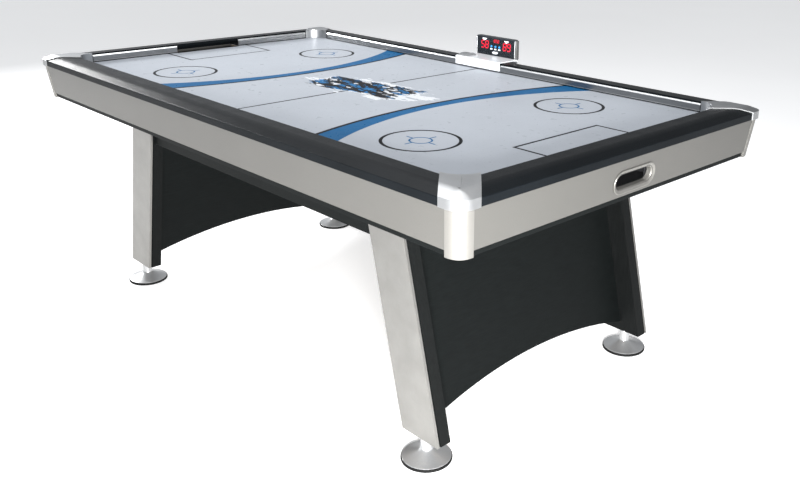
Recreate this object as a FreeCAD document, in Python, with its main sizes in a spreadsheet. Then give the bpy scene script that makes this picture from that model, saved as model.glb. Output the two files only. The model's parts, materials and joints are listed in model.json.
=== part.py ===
"""Air hockey table: every piece, with its sizes bound to one sheet.

Frame: millimetres, +Z up, origin on the floor under the middle of the table.
+X runs along the table to its right-hand end, -Y is the front long side.
The scorer stands on the back rail (+Y).
"""
import FreeCAD, Part
import math
import os
import re

import Sketcher
from FreeCAD import Placement, Rotation, Vector

# ---------------------------------------------------------------- driving sizes

SIZES = {
    # whole table
    "table_length": (2134, "over the end rails"),
    "table_width": (1220, "over the side rails"),
    "surface_height": (790, "floor to playing surface"),
    "fit_gap": (0.3, "gap between pieces that only lie side by side"),
    "overcut": (1, "how far a cutting shape runs past the face that it cuts"),
    # rails and bumpers
    "rail_rise": (32, "rail top above the playing surface"),
    "rail_body": (84, "width of the wrapped rail"),
    "shoulder_run": (34, "width of the rail's sloping outer shoulder"),
    "shoulder_drop": (12, "how far the shoulder falls below the rail top"),
    "bumper_thickness": (3.7, "metal bumper strip"),
    "bumper_foot": (3, "bumper strip's lower edge above the playing surface"),
    "bumper_face": (19, "height of the bumper strip's upright face"),
    "bumper_lip": (4, "height of the bumper strip's sloping lip"),
    "bumper_edge": (0.8, "thickness of the lip's upper edge"),
    # corner caps and posts
    "corner_radius": (38, "outer radius of a table corner in plan"),
    "cap_reach": (62, "how far a cap runs along each side from the corner"),
    "cap_wall": (2.5, "cap wall"),
    "cap_underlap": (14, "how far a rail end runs in under a cap"),
    "post_reach": (46, "how far a corner post runs along each side at its top"),
    "post_inset": (3, "post face behind the rail face at its top"),
    "post_wall": (12, "post wall"),
    "post_drop": (2, "corner post's lower end below the base trim"),
    # cabinet
    "apron_inset": (4, "apron face behind the rail face at its top"),
    "apron_lean": (6.5, "apron lean from upright, degrees"),
    "apron_height": (97, "upright height of an apron"),
    "apron_thickness": (15, "apron board"),
    "trim_height": (14, "black base trim"),
    "trim_inset": (5, "trim face behind the apron's lower edge"),
    "trim_thickness": (9, "trim board"),
    "frame_gap": (0.95, "plenum side board behind the apron's lower edge"),
    "frame_thickness": (18, "plenum boards and ribs"),
    "playfield_thickness": (12, "playfield board"),
    "floor_recess": (5.3, "plenum bottom panel above the base trim's lower edge"),
    "plenum_floor": (6, "plenum bottom panel"),
    "plenum_end_inset": (101, "plenum end board behind the end rail face"),
    "rib_spacing": (440, "spacing of the four plenum ribs"),
    "air_gap_height": (50, "air passage under a rib"),
    "air_gap_width": (200, "width of each air passage"),
    # goals
    "goal_width": (266, "goal slot"),
    "goal_slot_height": (22, "goal slot above the playing surface"),
    "goal_back": (22, "back of the goal slot behind the end rail face"),
    "goal_wall": (3, "goal box wall"),
    "goal_box_depth": (66, "goal box, front to back"),
    "goal_clearance": (12, "goal box above the plenum bottom panel"),
    "return_rise": (39.3, "middle of the puck return above the apron's lower edge"),
    "return_width": (146, "clear width of the puck return"),
    "return_opening": (38, "clear height of the puck return"),
    "bezel_wall": (2, "bezel sleeve wall"),
    "bezel_flange": (10, "bezel flange beyond its sleeve"),
    "bezel_thickness": (3, "bezel flange thickness"),
    "bezel_depth": (16, "bezel sleeve length"),
    "sensor_size": (14, "goal sensor block"),
    "sensor_beam": (3, "radius of the sensor's beam hole"),
    "sensor_rise": (42, "sensor's beam above the goal box underside"),
    # legs
    "leg_lean": (13.1, "leg splay towards the ends, degrees"),
    "leg_width": (134, "leg width along the table"),
    "leg_depth": (44, "leg core across the table"),
    "leg_face": (2, "metal face plate"),
    "leg_flange": (6, "folded edge of the face plate"),
    "leg_groove": (4, "shadow groove behind the face plate"),
    "leg_bottom": (68, "leg's lower end above the floor"),
    "leg_inset": (155, "leg face plate behind the side rail's face"),
    "leg_plate": (3, "steel plate between leg and cabinet"),
    "leg_plate_margin": (28, "steel plate beyond the leg"),
    "foot_inset": (292, "middle of a foot behind the end rail's face"),
    "panel_thickness": (18, "end panel"),
    "panel_setback": (63, "end panel behind the leg's outer edge"),
    "arch_rise": (54, "rise of the end panel's arch"),
    "arch_foot": (98, "ends of the arch above the floor"),
    "beam_height": (122, "long beam between the legs"),
    "beam_thickness": (18, "long beam"),
    "beam_setback": (15, "beam face behind the leg's face plate"),
    "bolt_radius": (3, "leg bolt shank"),
    "bolt_head": (6.5, "leg bolt head, across corners, half"),
    "bolt_head_height": (4, "leg bolt head"),
    "bolt_clearance": (0.2, "bolt hole clearance on radius"),
    # levelling feet
    "foot_ring_radius": (67.5, "rubber ring, outside"),
    "foot_disc_radius": (60, "foot disc inside the rubber ring"),
    "foot_rim_radius": (65, "foot rim, over the rubber ring"),
    "foot_ring_height": (8, "rubber ring"),
    "foot_sole": (2, "foot disc above the floor, inside the ring"),
    "foot_rim_height": (1.5, "thickness of the foot's rim"),
    "foot_cone_height": (30, "top of the foot's cone above the floor"),
    "foot_taper": (1, "collar's radius lost from its foot to its top"),
    "foot_collar_radius": (16, "foot collar"),
    "foot_collar_gap": (4, "collar top below the leg at rest"),
    "stud_radius": (5, "levelling stud"),
    "stud_clearance": (0.05, "stud running clearance"),
    "stud_grip": (40, "stud length inside the leg"),
    "stud_room": (8, "room over the stud"),
    # scorer
    "saddle_width": (222, "scorer saddle along the rail"),
    "saddle_wall": (4, "scorer saddle wall"),
    "saddle_skirt": (27, "saddle's reach down past the rail top"),
    "scorer_width": (190, "scorer housing"),
    "scorer_height": (78, "scorer housing"),
    "scorer_depth": (18, "scorer front shell"),
    "scorer_sink": (6, "scorer underside below the rail top"),
    "scorer_wall": (2, "scorer shell wall"),
    "scorer_corner": (5, "scorer corner radius"),
    "window_thickness": (1, "tinted window"),
    "window_margin": (5, "scorer face around the window"),
    "window_clearance": (0.1, "gap round the window"),
    "display_clearance": (0.5, "gap round a display block"),
    "board_thickness": (1.6, "circuit board"),
    "board_setback": (9, "circuit board behind the scorer face"),
    "score_width": (40, "score display"),
    "score_height": (28, "score display"),
    "score_offset": (55, "score display from the middle"),
    "score_drop": (31, "score display below the scorer top"),
    "timer_width": (36, "timer display"),
    "timer_height": (13, "timer display"),
    "timer_drop": (15, "timer display below the scorer top"),
    "button_radius": (4, "scorer button"),
    "button_spacing": (20, "scorer buttons"),
    "button_drop": (35, "buttons below the scorer top"),
    "button_proud": (2.5, "button in front of the window"),
    "button_clearance": (0.08, "button running clearance"),
    "button_flange": (1.5, "button flange beyond its stem"),
    "button_flange_depth": (1, "button flange thickness"),
    "button_travel": (1, "button stem behind the shell, room for its travel"),
    "screw_radius": (1.5, "scorer screw"),
    "screw_head": (3, "scorer screw head"),
    "screw_head_height": (1.5, "scorer screw head height"),
    "screw_bite": (4, "scorer screw beyond the cover"),
    # blower
    "blower_radius": (95, "blower drum"),
    "blower_height": (78, "blower drum"),
    "blower_wall": (3, "blower drum wall"),
    "blower_outlet": (60, "outlet hole into the plenum"),
    "impeller_radius": (80, "impeller"),
    "impeller_height": (44, "impeller blades"),
    "impeller_plate": (3, "impeller disc"),
    "impeller_hub": (14, "impeller hub"),
    "impeller_gap": (2, "impeller above the motor"),
    "impeller_ring": (14, "width of the impeller's upper ring"),
    "blade_depth": (12, "blade, along the radius"),
    "blade_thickness": (1.2, "blade"),
    "blade_margin": (1, "blade behind the impeller's edge"),
    "spindle_end_gap": (1, "spindle above the bottom of its bore"),
    "spindle_radius": (4, "blower spindle"),
    "spindle_clearance": (0.05, "spindle running clearance"),
    "motor_radius": (36, "blower motor"),
    "motor_height": (22, "blower motor"),
    "intake_radius": (5, "each intake hole"),
    "intake_circle": (62, "circle of intake holes"),
    # mains inlet and switch
    "switch_along": (300, "switch box from the table's middle, along the table"),
    "switch_inset": (140, "middle of the switch box behind the side rail's face"),
    "switch_box_length": (76, "switch box"),
    "switch_box_width": (40, "switch box"),
    "switch_box_height": (34, "switch box"),
    "rocker_length": (22, "rocker"),
    "rocker_width": (14, "rocker"),
    "rocker_radius": (14, "rocker's rounded underside"),
    "rocker_tilt": (10, "rocker tilt at rest, degrees"),
    "rocker_clearance": (0.5, "rocker side clearance"),
    "rocker_pin": (1.5, "rocker pivot pin, radius"),
    "rocker_pin_clearance": (0.05, "rocker pin running clearance"),
    "rocker_end_play": (0.2, "room past each end of the rocker pins"),
    "inlet_length": (27, "mains inlet recess"),
    "inlet_width": (20, "mains inlet recess"),
    "inlet_depth": (18, "mains inlet recess"),
}
BLADES = 24
INTAKE_HOLES = 16

doc = FreeCAD.newDocument("AirHockeyTable")
sizes = doc.addObject("Spreadsheet::Sheet", "Sizes")
for row, (alias, (number, note)) in enumerate(SIZES.items(), start=1):
    sizes.set(f"A{row}", note)
    sizes.set(f"B{row}", str(number))
    sizes.setAlias(f"B{row}", alias)
doc.recompute()

# Heights and reaches that several pieces share, as expressions over the sheet.
HALF_LENGTH = "(table_length / 2)"
HALF_WIDTH = "(table_width / 2)"
RAIL_TOP = "(surface_height + rail_rise)"
RAIL_WIDTH = "(rail_body + fit_gap + bumper_thickness)"
BOARD_UNDERSIDE = "(surface_height - playfield_thickness)"
APRON_TOP = "(surface_height - fit_gap)"
APRON_BOTTOM = "(surface_height - fit_gap - apron_height)"
APRON_SLOPE = "tan(apron_lean * 1 deg)"
TRIM_BOTTOM = f"({APRON_BOTTOM} - trim_height)"
POST_HEIGHT = "(apron_height + trim_height + post_drop)"
FRAME_INSET = f"(apron_inset + apron_thickness + {APRON_SLOPE} * apron_height + frame_gap)"
CABINET_UNDERSIDE = f"({TRIM_BOTTOM} + floor_recess)"
PLENUM_FLOOR_TOP = f"({CABINET_UNDERSIDE} + plenum_floor)"
GOAL_FLOOR = f"({PLENUM_FLOOR_TOP} + goal_clearance)"
RETURN_HEIGHT = f"({APRON_BOTTOM} + return_rise)"
LEG_SLOPE = "tan(leg_lean * 1 deg)"
LEG_TOP = f"({CABINET_UNDERSIDE} - leg_plate)"
LEG_HEIGHT = f"({LEG_TOP} - leg_bottom)"
LEG_OUTER = f"({HALF_WIDTH} - leg_inset)"
LEG_MIDDLE = f"({LEG_OUTER} - leg_face - leg_depth / 2)"
FOOT_SPREAD = f"({HALF_LENGTH} - foot_inset)"
BEAM_OUTER = f"({LEG_OUTER} - beam_setback)"
CAP_PROUD = "(cap_wall + fit_gap)"
SCORER_BASE = f"({RAIL_TOP} - scorer_sink)"
SCORER_TOP = f"({SCORER_BASE} + scorer_height)"
SCORER_FACE = f"({HALF_WIDTH} + fit_gap + saddle_wall)"
SWITCH_ACROSS = f"({HALF_WIDTH} - switch_inset)"
GOAL_BOX_FRONT = f"({HALF_LENGTH} - {FRAME_INSET})"
GOAL_HALF = "(goal_width / 2 + goal_wall)"

# ------------------------------------------------------------------ small tools

NAME = re.compile(r"[a-z][a-z_]*")


def cells(text):
    """The expression with every size name pointing at the sheet."""
    return NAME.sub(lambda m: f"Sizes.{m[0]}" if m[0] in SIZES else m[0], str(text))


def value(text):
    """The number that an expression over the sheet stands for."""
    result = sizes.evalExpression(cells(text))
    return float(getattr(result, "Value", result))


def bind(item, **properties):
    """Bind each property to an expression over the sheet."""
    for name, text in properties.items():
        item.setExpression(name, cells(text))
    return item


def place(item, x="0", y="0", z="0", axis=(0, 0, 1), turn=0):
    """Turn the item about an axis through its own origin, then move it to x, y, z."""
    where = Vector(value(x), value(y), value(z))
    angle = turn if isinstance(turn, (int, float)) else value(turn)
    item.Placement = Placement(where, Rotation(Vector(*axis), angle))
    for name, text in (("x", x), ("y", y), ("z", z)):
        item.setExpression(f"Placement.Base.{name}", cells(text))
    if not isinstance(turn, (int, float)):
        item.setExpression("Placement.Rotation.Angle", cells(f"({turn}) * 1 deg"))
    return item


nodes = []


def node(item, label):
    """Name a finished sub-part and keep it for export."""
    item.Label = label
    nodes.append(item)
    return item


def box(low, high):
    """A box between two corners given as expressions."""
    item = doc.addObject("Part::Box", "Block")
    bind(item, Length=f"({high[0]}) - ({low[0]})", Width=f"({high[1]}) - ({low[1]})",
         Height=f"({high[2]}) - ({low[2]})")
    return place(item, *low)


def cylinder(radius, height, x="0", y="0", z="0", axis=(0, 0, 1), turn=0):
    item = doc.addObject("Part::Cylinder", "Round")
    bind(item, Radius=radius, Height=height)
    return place(item, x, y, z, axis, turn)


def cut(base, *tools):
    item = doc.addObject("Part::Cut", "Cut")
    item.Base = base
    item.Tool = tools[0] if len(tools) == 1 else group(*tools)
    return item


def fuse(*items):
    item = doc.addObject("Part::MultiFuse", "Fusion")
    item.Shapes = list(items)
    return item


def group(*items):
    """Separate solids that share one node, or one boolean's tools."""
    item = doc.addObject("Part::Compound", "Group")
    item.Links = list(items)
    return item


def plane(body, role):
    return next(item for item in body.Origin.OriginFeatures if item.Role == role)


def sketch(body, role, *loops):
    """A sketch on one of the body's origin planes, holding closed loops."""
    item = body.newObject("Sketcher::SketchObject", "Outline")
    item.AttachmentSupport = [(plane(body, role), "")]
    item.MapMode = "FlatFace"
    for corners in loops:
        closed_loop(item, corners)
    return item


def closed_loop(item, corners):
    """A closed outline whose corners are bound to the sheet.

    A corner is (x, y) or (x, y, radius): with a radius, the edge from that corner to
    the next is an arc, which bulges to the right of the way the outline runs where
    the radius starts with "+", and to the left where it starts with "-".
    """
    first = item.GeometryCount
    count = len(corners)
    points = [Vector(value(c[0]), value(c[1]), 0) for c in corners]
    for i, corner in enumerate(corners):
        start, end = points[i], points[(i + 1) % count]
        if len(corner) == 2:
            item.addGeometry(Part.LineSegment(start, end))
        else:
            item.addGeometry(arc_between(start, end, corner[2]))
    for i, corner in enumerate(corners):
        follower = (i + 1) % count
        item.addConstraint(Sketcher.Constraint(
            "Coincident", first + i, end_of(corner), first + follower, start_of(corners[follower])))
    for i, corner in enumerate(corners):
        edge, vertex = first + i, start_of(corner)
        fix(item, Sketcher.Constraint("DistanceX", -1, 1, edge, vertex, points[i].x), corner[0])
        fix(item, Sketcher.Constraint("DistanceY", -1, 1, edge, vertex, points[i].y), corner[1])
        if len(corner) == 3:
            radius = corner[2][1:]
            fix(item, Sketcher.Constraint("Radius", edge, value(radius)), radius)


def start_of(corner):
    """An arc that bulges left is drawn end first, so its start is its second vertex."""
    return 2 if len(corner) == 3 and corner[2].startswith("-") else 1


def end_of(corner):
    return 3 - start_of(corner)


def fix(item, constraint, text):
    index = item.addConstraint(constraint)
    item.setExpression(f"Constraints[{index}]", cells(text))


def arc_between(start, end, radius_text):
    """The short arc from start to end, bulging to the right (+) or left (-)."""
    bulge = 1 if radius_text.startswith("+") else -1
    radius = value(radius_text[1:])
    chord = end - start
    middle = (start + end) / 2
    right = Vector(chord.y, -chord.x, 0).normalize()
    depth = math.sqrt(max(radius ** 2 - (chord.Length / 2) ** 2, 0))
    centre = middle - right * depth * bulge
    crown = centre + right * radius * bulge
    ends = (start, crown, end) if bulge > 0 else (end, crown, start)
    return Part.Arc(*ends)


def new_body():
    return doc.addObject("PartDesign::Body", "Body")


def pad(body, outline, length, slant=None, middle=False, reverse=False):
    item = body.newObject("PartDesign::Pad", "Pad")
    item.Profile = outline
    bind(item, Length=length)
    if middle:
        item.SideType = "Symmetric"
    item.Reversed = reverse
    if slant:
        item.UseCustomVector = True
        item.AlongSketchNormal = True
        item.Direction = Vector(*(value(part) for part in slant))
        for name, text in zip("xyz", slant):
            item.setExpression(f"Direction.{name}", cells(text))
    return item


def pocket(body, outline, length, reverse=False, through=False):
    item = body.newObject("PartDesign::Pocket", "Pocket")
    item.Profile = outline
    if through:
        item.SideType = "Symmetric"
    bind(item, Length=length)
    item.Reversed = reverse
    return item


def wedge(x_low, x_high, z_low, z_high, height, turn, base):
    """A board with a rectangular foot and a rectangular top, upright along +Z.

    x runs along a side of the table and z outwards from its middle. Each of the four
    is a pair: its value at the foot, and its value at the top.
    """
    item = doc.addObject("Part::Wedge", "Board")
    bind(item, Xmin=x_low[0], X2min=x_low[1], Xmax=x_high[0], X2max=x_high[1],
         Zmin=z_low[0], Z2min=z_low[1], Zmax=z_high[0], Z2max=z_high[1],
         Ymin="0 * fit_gap", Ymax=height)
    upright = Rotation(Vector(1, 0, 0), 90)
    item.Placement = Placement(Vector(0, 0, value(base)),
                               Rotation(Vector(0, 0, 1), turn).multiply(upright))
    item.setExpression("Placement.Base.z", cells(base))
    return item


# Each side of the table: name, turn from the front side, half run and half span.
SIDES = (
    ("front", 0, HALF_LENGTH, HALF_WIDTH),
    ("right", 90, HALF_WIDTH, HALF_LENGTH),
    ("back", 180, HALF_LENGTH, HALF_WIDTH),
    ("left", 270, HALF_WIDTH, HALF_LENGTH),
)
# Each corner: name, turn from the front left corner, and its signs along X and Y.
CORNERS = (
    ("front_left", 0, -1, -1),
    ("front_right", 90, 1, -1),
    ("back_right", 180, 1, 1),
    ("back_left", 270, -1, 1),
)
ENDS = (("right", 1), ("left", -1))


# ---------------------------------------------------------------------- cabinet

def playfield():
    """The playing surface, with a notch at each end where pucks drop."""
    board = box((f"-({HALF_LENGTH} - {FRAME_INSET})", f"-({HALF_WIDTH} - {FRAME_INSET})", BOARD_UNDERSIDE),
                (f"{HALF_LENGTH} - {FRAME_INSET}", f"{HALF_WIDTH} - {FRAME_INSET}", "surface_height"))
    notches = []
    for _, sign in ENDS:
        inner = f"{sign} * ({GOAL_BOX_FRONT} - goal_box_depth + goal_wall)"
        outer = f"{sign} * ({HALF_LENGTH})"
        low, high = (inner, outer) if sign > 0 else (outer, inner)
        notches.append(box((low, "-goal_width / 2", "surface_height - 2 * playfield_thickness"),
                           (high, "goal_width / 2", "surface_height + playfield_thickness")))
    node(cut(board, *notches), "playfield_board")


def plenum():
    """The air box under the playfield: floor, side and end boards, and ribs."""
    reach = f"({HALF_LENGTH} - plenum_end_inset)"
    across = f"({HALF_WIDTH} - {FRAME_INSET})"
    floor = box((f"-{reach}", f"-{across}", CABINET_UNDERSIDE), (reach, across, PLENUM_FLOOR_TOP))
    outlet = cylinder("blower_outlet", "4 * plenum_floor", z=f"{CABINET_UNDERSIDE} - plenum_floor")
    holes = [cylinder("bolt_radius + bolt_clearance", "4 * plenum_floor", x, y,
                      f"{CABINET_UNDERSIDE} - plenum_floor") for x, y in bolt_places()]
    node(cut(floor, outlet, *holes), "plenum_floor")

    inner = f"({across} - frame_thickness)"
    run = f"({HALF_LENGTH} - {FRAME_INSET} - frame_thickness)"
    sides = [box((f"-{run}", low, PLENUM_FLOOR_TOP), (run, high, BOARD_UNDERSIDE))
             for low, high in ((f"-{across}", f"-{inner}"), (inner, across))]
    node(group(*sides), "plenum_side_boards")
    back = f"({reach} - frame_thickness)"
    ends = [box((low, f"-{inner}", PLENUM_FLOOR_TOP), (high, inner, BOARD_UNDERSIDE))
            for low, high in ((f"-{reach}", f"-{back}"), (back, reach))]
    node(group(*ends), "plenum_end_boards")

    ribs = []
    for place_along in (-1.5, -0.5, 0.5, 1.5):
        middle = f"{place_along} * rib_spacing"
        low, high = f"{middle} - frame_thickness / 2", f"{middle} + frame_thickness / 2"
        rib = box((low, f"-{inner}", PLENUM_FLOOR_TOP), (high, inner, BOARD_UNDERSIDE))
        gaps = [box((f"{low} - overcut", f"{side} * air_gap_width - air_gap_width / 2",
                     f"{PLENUM_FLOOR_TOP} - overcut"),
                    (f"{high} + overcut", f"{side} * air_gap_width + air_gap_width / 2",
                     f"{PLENUM_FLOOR_TOP} + air_gap_height")) for side in (-1, 1)]
        ribs.append(cut(rib, *gaps))
    node(group(*ribs), "plenum_ribs")


def aprons():
    """Four leaning silver boards, the end ones with a puck return cut through."""
    drop = f"{APRON_SLOPE} * apron_height"
    for name, turn, run, span in SIDES:
        end_top = f"({run} - post_reach - fit_gap)"
        end_foot = f"({end_top} - {drop})"
        face_top = f"({span} - apron_inset)"
        face_foot = f"({face_top} - {drop})"
        board = wedge((f"-{end_foot}", f"-{end_top}"), (end_foot, end_top),
                      (f"{face_foot} - apron_thickness", f"{face_top} - apron_thickness"),
                      (face_foot, face_top), "apron_height", turn, APRON_BOTTOM)
        if name in ("left", "right"):
            opening = stadium("return_width + 2 * bezel_wall + 2 * fit_gap",
                              "return_opening + 2 * bezel_wall + 2 * fit_gap",
                              "3 * apron_thickness", "-2 * apron_thickness")
            board = cut(board, at_return(opening, turn))
            node(board, f"end_apron_{name}")
        else:
            node(board, f"side_apron_{name}")


def base_trims():
    """Thin black boards, set back under the aprons."""
    boards = []
    drop = f"{APRON_SLOPE} * apron_height"
    for _, turn, run, span in SIDES:
        face = f"({span} - apron_inset - {drop} - trim_inset)"
        end = f"({run} - post_reach - {APRON_SLOPE} * {POST_HEIGHT} - fit_gap)"
        boards.append(wedge((f"-{end}", f"-{end}"), (end, end),
                            (f"{face} - trim_thickness", f"{face} - trim_thickness"),
                            (face, face), "trim_height", turn, TRIM_BOTTOM))
    node(group(*boards), "base_trims")


def corner_posts():
    """Rounded silver posts that lean in with the aprons."""
    lean = f"({APRON_SLOPE} * {POST_HEIGHT})"
    near = f"(post_inset + {lean})"
    far = f"(post_reach + {lean})"
    bend = f"(corner_radius + {lean})"
    posts = []
    for _, turn, sign_x, sign_y in CORNERS:
        body = new_body()
        outline = sketch(body, "XY_Plane", (
            (far, near), (far, f"{near} + post_wall"), (bend, f"{near} + post_wall",
             "-(corner_radius - post_inset - post_wall)"), (f"{near} + post_wall", bend),
            (f"{near} + post_wall", far), (near, far),
            (near, bend, "+(corner_radius - post_inset)"), (bend, near)))
        pad(body, outline, POST_HEIGHT, slant=(f"-{APRON_SLOPE}", f"-{APRON_SLOPE}", "1"))
        place(body, f"{sign_x} * {HALF_LENGTH}", f"{sign_y} * {HALF_WIDTH}",
              f"{APRON_TOP} - {POST_HEIGHT}", turn=turn)
        posts.append(body)
    node(group(*posts), "corner_posts")


# ------------------------------------------------------------ rails and bumpers

def rails():
    """Wrapped rails with a sloping shoulder, mitred under the corner caps."""
    for name, turn, run, span in SIDES:
        body = new_body()
        inner = f"-({span} - rail_body)"
        section = sketch(body, "YZ_Plane", (
            (f"-{span}", "surface_height"), (inner, "surface_height"), (inner, RAIL_TOP),
            (f"-({span} - shoulder_run)", RAIL_TOP), (f"-{span}", f"{RAIL_TOP} - shoulder_drop")))
        pad(body, section, f"2 * {run}", middle=True)
        cover = "(cap_reach - cap_underlap)"
        for side in (1, -1):
            corner = f"{side} * ({run} - {cover})"
            past = f"{side} * ({run} + rail_body)"
            triangle = [(past, f"-{span} - rail_body"), (past, f"-{span} + 3 * rail_body"),
                        (f"{side} * ({run} - {cover} - 3 * rail_body)", f"-{span} + 3 * rail_body"),
                        (corner, f"-{span}"), (corner, f"-{span} - rail_body")]
            mitre = sketch(body, "XY_Plane", triangle)
            pocket(body, mitre, f"4 * {RAIL_TOP}", through=True)
        if name in ("left", "right"):
            slot = sketch(body, "XZ_Plane", (
                ("-goal_width / 2", "surface_height - rail_rise"),
                ("goal_width / 2", "surface_height - rail_rise"),
                ("goal_width / 2", "surface_height + goal_slot_height"),
                ("-goal_width / 2", "surface_height + goal_slot_height")))
            pocket(body, slot, f"{span} - goal_back", reverse=True)
            body.Placement = Placement(Vector(), Rotation(Vector(0, 0, 1), turn))
            node(body, f"end_rail_{name}")
        else:
            body.Placement = Placement(Vector(), Rotation(Vector(0, 0, 1), turn))
            node(body, f"side_rail_{name}")


def bumpers():
    """Metal strips on the rails' inner faces, split at each end by the goal slot."""
    for name, turn, run, span in SIDES:
        body = new_body()
        back = f"-({span} - rail_body - fit_gap)"
        face = f"-({span} - {RAIL_WIDTH})"
        foot = "surface_height + bumper_foot"
        section = sketch(body, "YZ_Plane", (
            (back, foot), (face, foot), (face, f"{foot} + bumper_face"),
            (f"{back} + bumper_edge", f"{foot} + bumper_face + bumper_lip"),
            (back, f"{foot} + bumper_face + bumper_lip")))
        end = f"({run} - cap_reach - {RAIL_WIDTH} - cap_wall)"
        pad(body, section, f"2 * {end}", middle=True)
        body.Placement = Placement(Vector(), Rotation(Vector(0, 0, 1), turn))
        if name in ("left", "right"):
            low = f"-{HALF_LENGTH}" if name == "left" else "0 * fit_gap"
            high = "0 * fit_gap" if name == "left" else HALF_LENGTH
            mouth = box((low, "-goal_width / 2", "surface_height - rail_rise"),
                        (high, "goal_width / 2", "surface_height + 2 * rail_rise"))
            node(cut(body, mouth), f"end_bumpers_{name}")
        else:
            node(body, f"side_bumper_{name}")


def corner_caps():
    """Moulded covers that follow the rail section round each corner."""
    proud = CAP_PROUD
    deep = f"({RAIL_WIDTH})"
    for name, turn, sign_x, sign_y in CORNERS:
        body = new_body()
        outline = sketch(body, "XY_Plane", (
            (f"cap_reach - {proud}", f"-{proud}"), (f"cap_reach + {deep}", deep,
             "-cap_reach"), (deep, f"cap_reach + {deep}"),
            (f"-{proud}", f"cap_reach - {proud}"),
            (f"-{proud}", "corner_radius", f"+(corner_radius + {proud})"),
            ("corner_radius", f"-{proud}")))
        pad(body, outline, f"rail_rise + {proud} - fit_gap")
        doc.recompute()
        shape = body.Shape
        top = shape.BoundBox.ZMax
        outer = [f"Edge{i + 1}" for i, edge in enumerate(shape.Edges)
                 if abs(edge.BoundBox.ZMin - top) < 1e-4 and abs(edge.BoundBox.ZMax - top) < 1e-4
                 and min(edge.CenterOfMass.x, edge.CenterOfMass.y) < value("corner_radius") / 2]
        padded = body.Tip
        sloped = body.newObject("PartDesign::Chamfer", "Shoulder")
        sloped.Base = (padded, outer)
        sloped.ChamferType = "Two distances"
        bind(sloped, Size="shoulder_drop", Size2="shoulder_run")
        doc.recompute()
        shape = body.Shape
        low = shape.BoundBox.ZMin
        open_faces = [f"Face{i + 1}" for i, item in enumerate(shape.Faces)
                      if item.BoundBox.ZMax < low + 1e-4 or is_side(item)]
        shell = body.newObject("PartDesign::Thickness", "Shell")
        shell.Base = (sloped, open_faces)
        bind(shell, Value="cap_wall")
        shell.Reversed = True
        shell.Join = "Intersection"
        place(body, f"{sign_x} * {HALF_LENGTH}", f"{sign_y} * {HALF_WIDTH}",
              "surface_height + fit_gap", turn=turn)
        node(body, f"corner_cap_{name}")


def is_side(face):
    """Whether a face of the cap is one of the two that the rails run in at."""
    if face.Surface.TypeId != "Part::GeomPlane":
        return False
    normal = face.Surface.Axis
    return abs(abs(normal.x) - abs(normal.y)) < 1e-6 and abs(normal.z) < 1e-6


# ------------------------------------------------------------------------ goals

def stadium(width, height, depth, start):
    """A round-ended slot that runs along +Z from start, with its width along X."""
    straight = f"(({width}) - ({height}))"
    middle = box((f"-{straight} / 2", f"-({height}) / 2", start),
                 (f"{straight} / 2", f"({height}) / 2", f"({start}) + ({depth})"))
    rounds = [cylinder(f"({height}) / 2", depth, f"{side} * {straight} / 2", "0", start)
              for side in (1, -1)]
    return fuse(middle, *rounds)


def at_return(item, turn):
    """Stand a slot in an end apron, square to the apron's leaning face."""
    rise = f"({APRON_TOP} - {RETURN_HEIGHT})"
    face = f"({HALF_LENGTH} - apron_inset - {APRON_SLOPE} * {rise})"
    lean = Rotation(Vector(0, 1, 0), 90 + value("apron_lean"))
    quarter = Rotation(Vector(0, 0, 1), 90)
    around = Rotation(Vector(0, 0, 1), turn - 90)
    sign = 1 if turn == 90 else -1
    item.Placement = Placement(Vector(sign * value(face), 0, value(RETURN_HEIGHT)),
                               around.multiply(lean).multiply(quarter))
    item.setExpression("Placement.Base.x", cells(f"{sign} * {face}"))
    item.setExpression("Placement.Base.z", cells(RETURN_HEIGHT))
    return item


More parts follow.
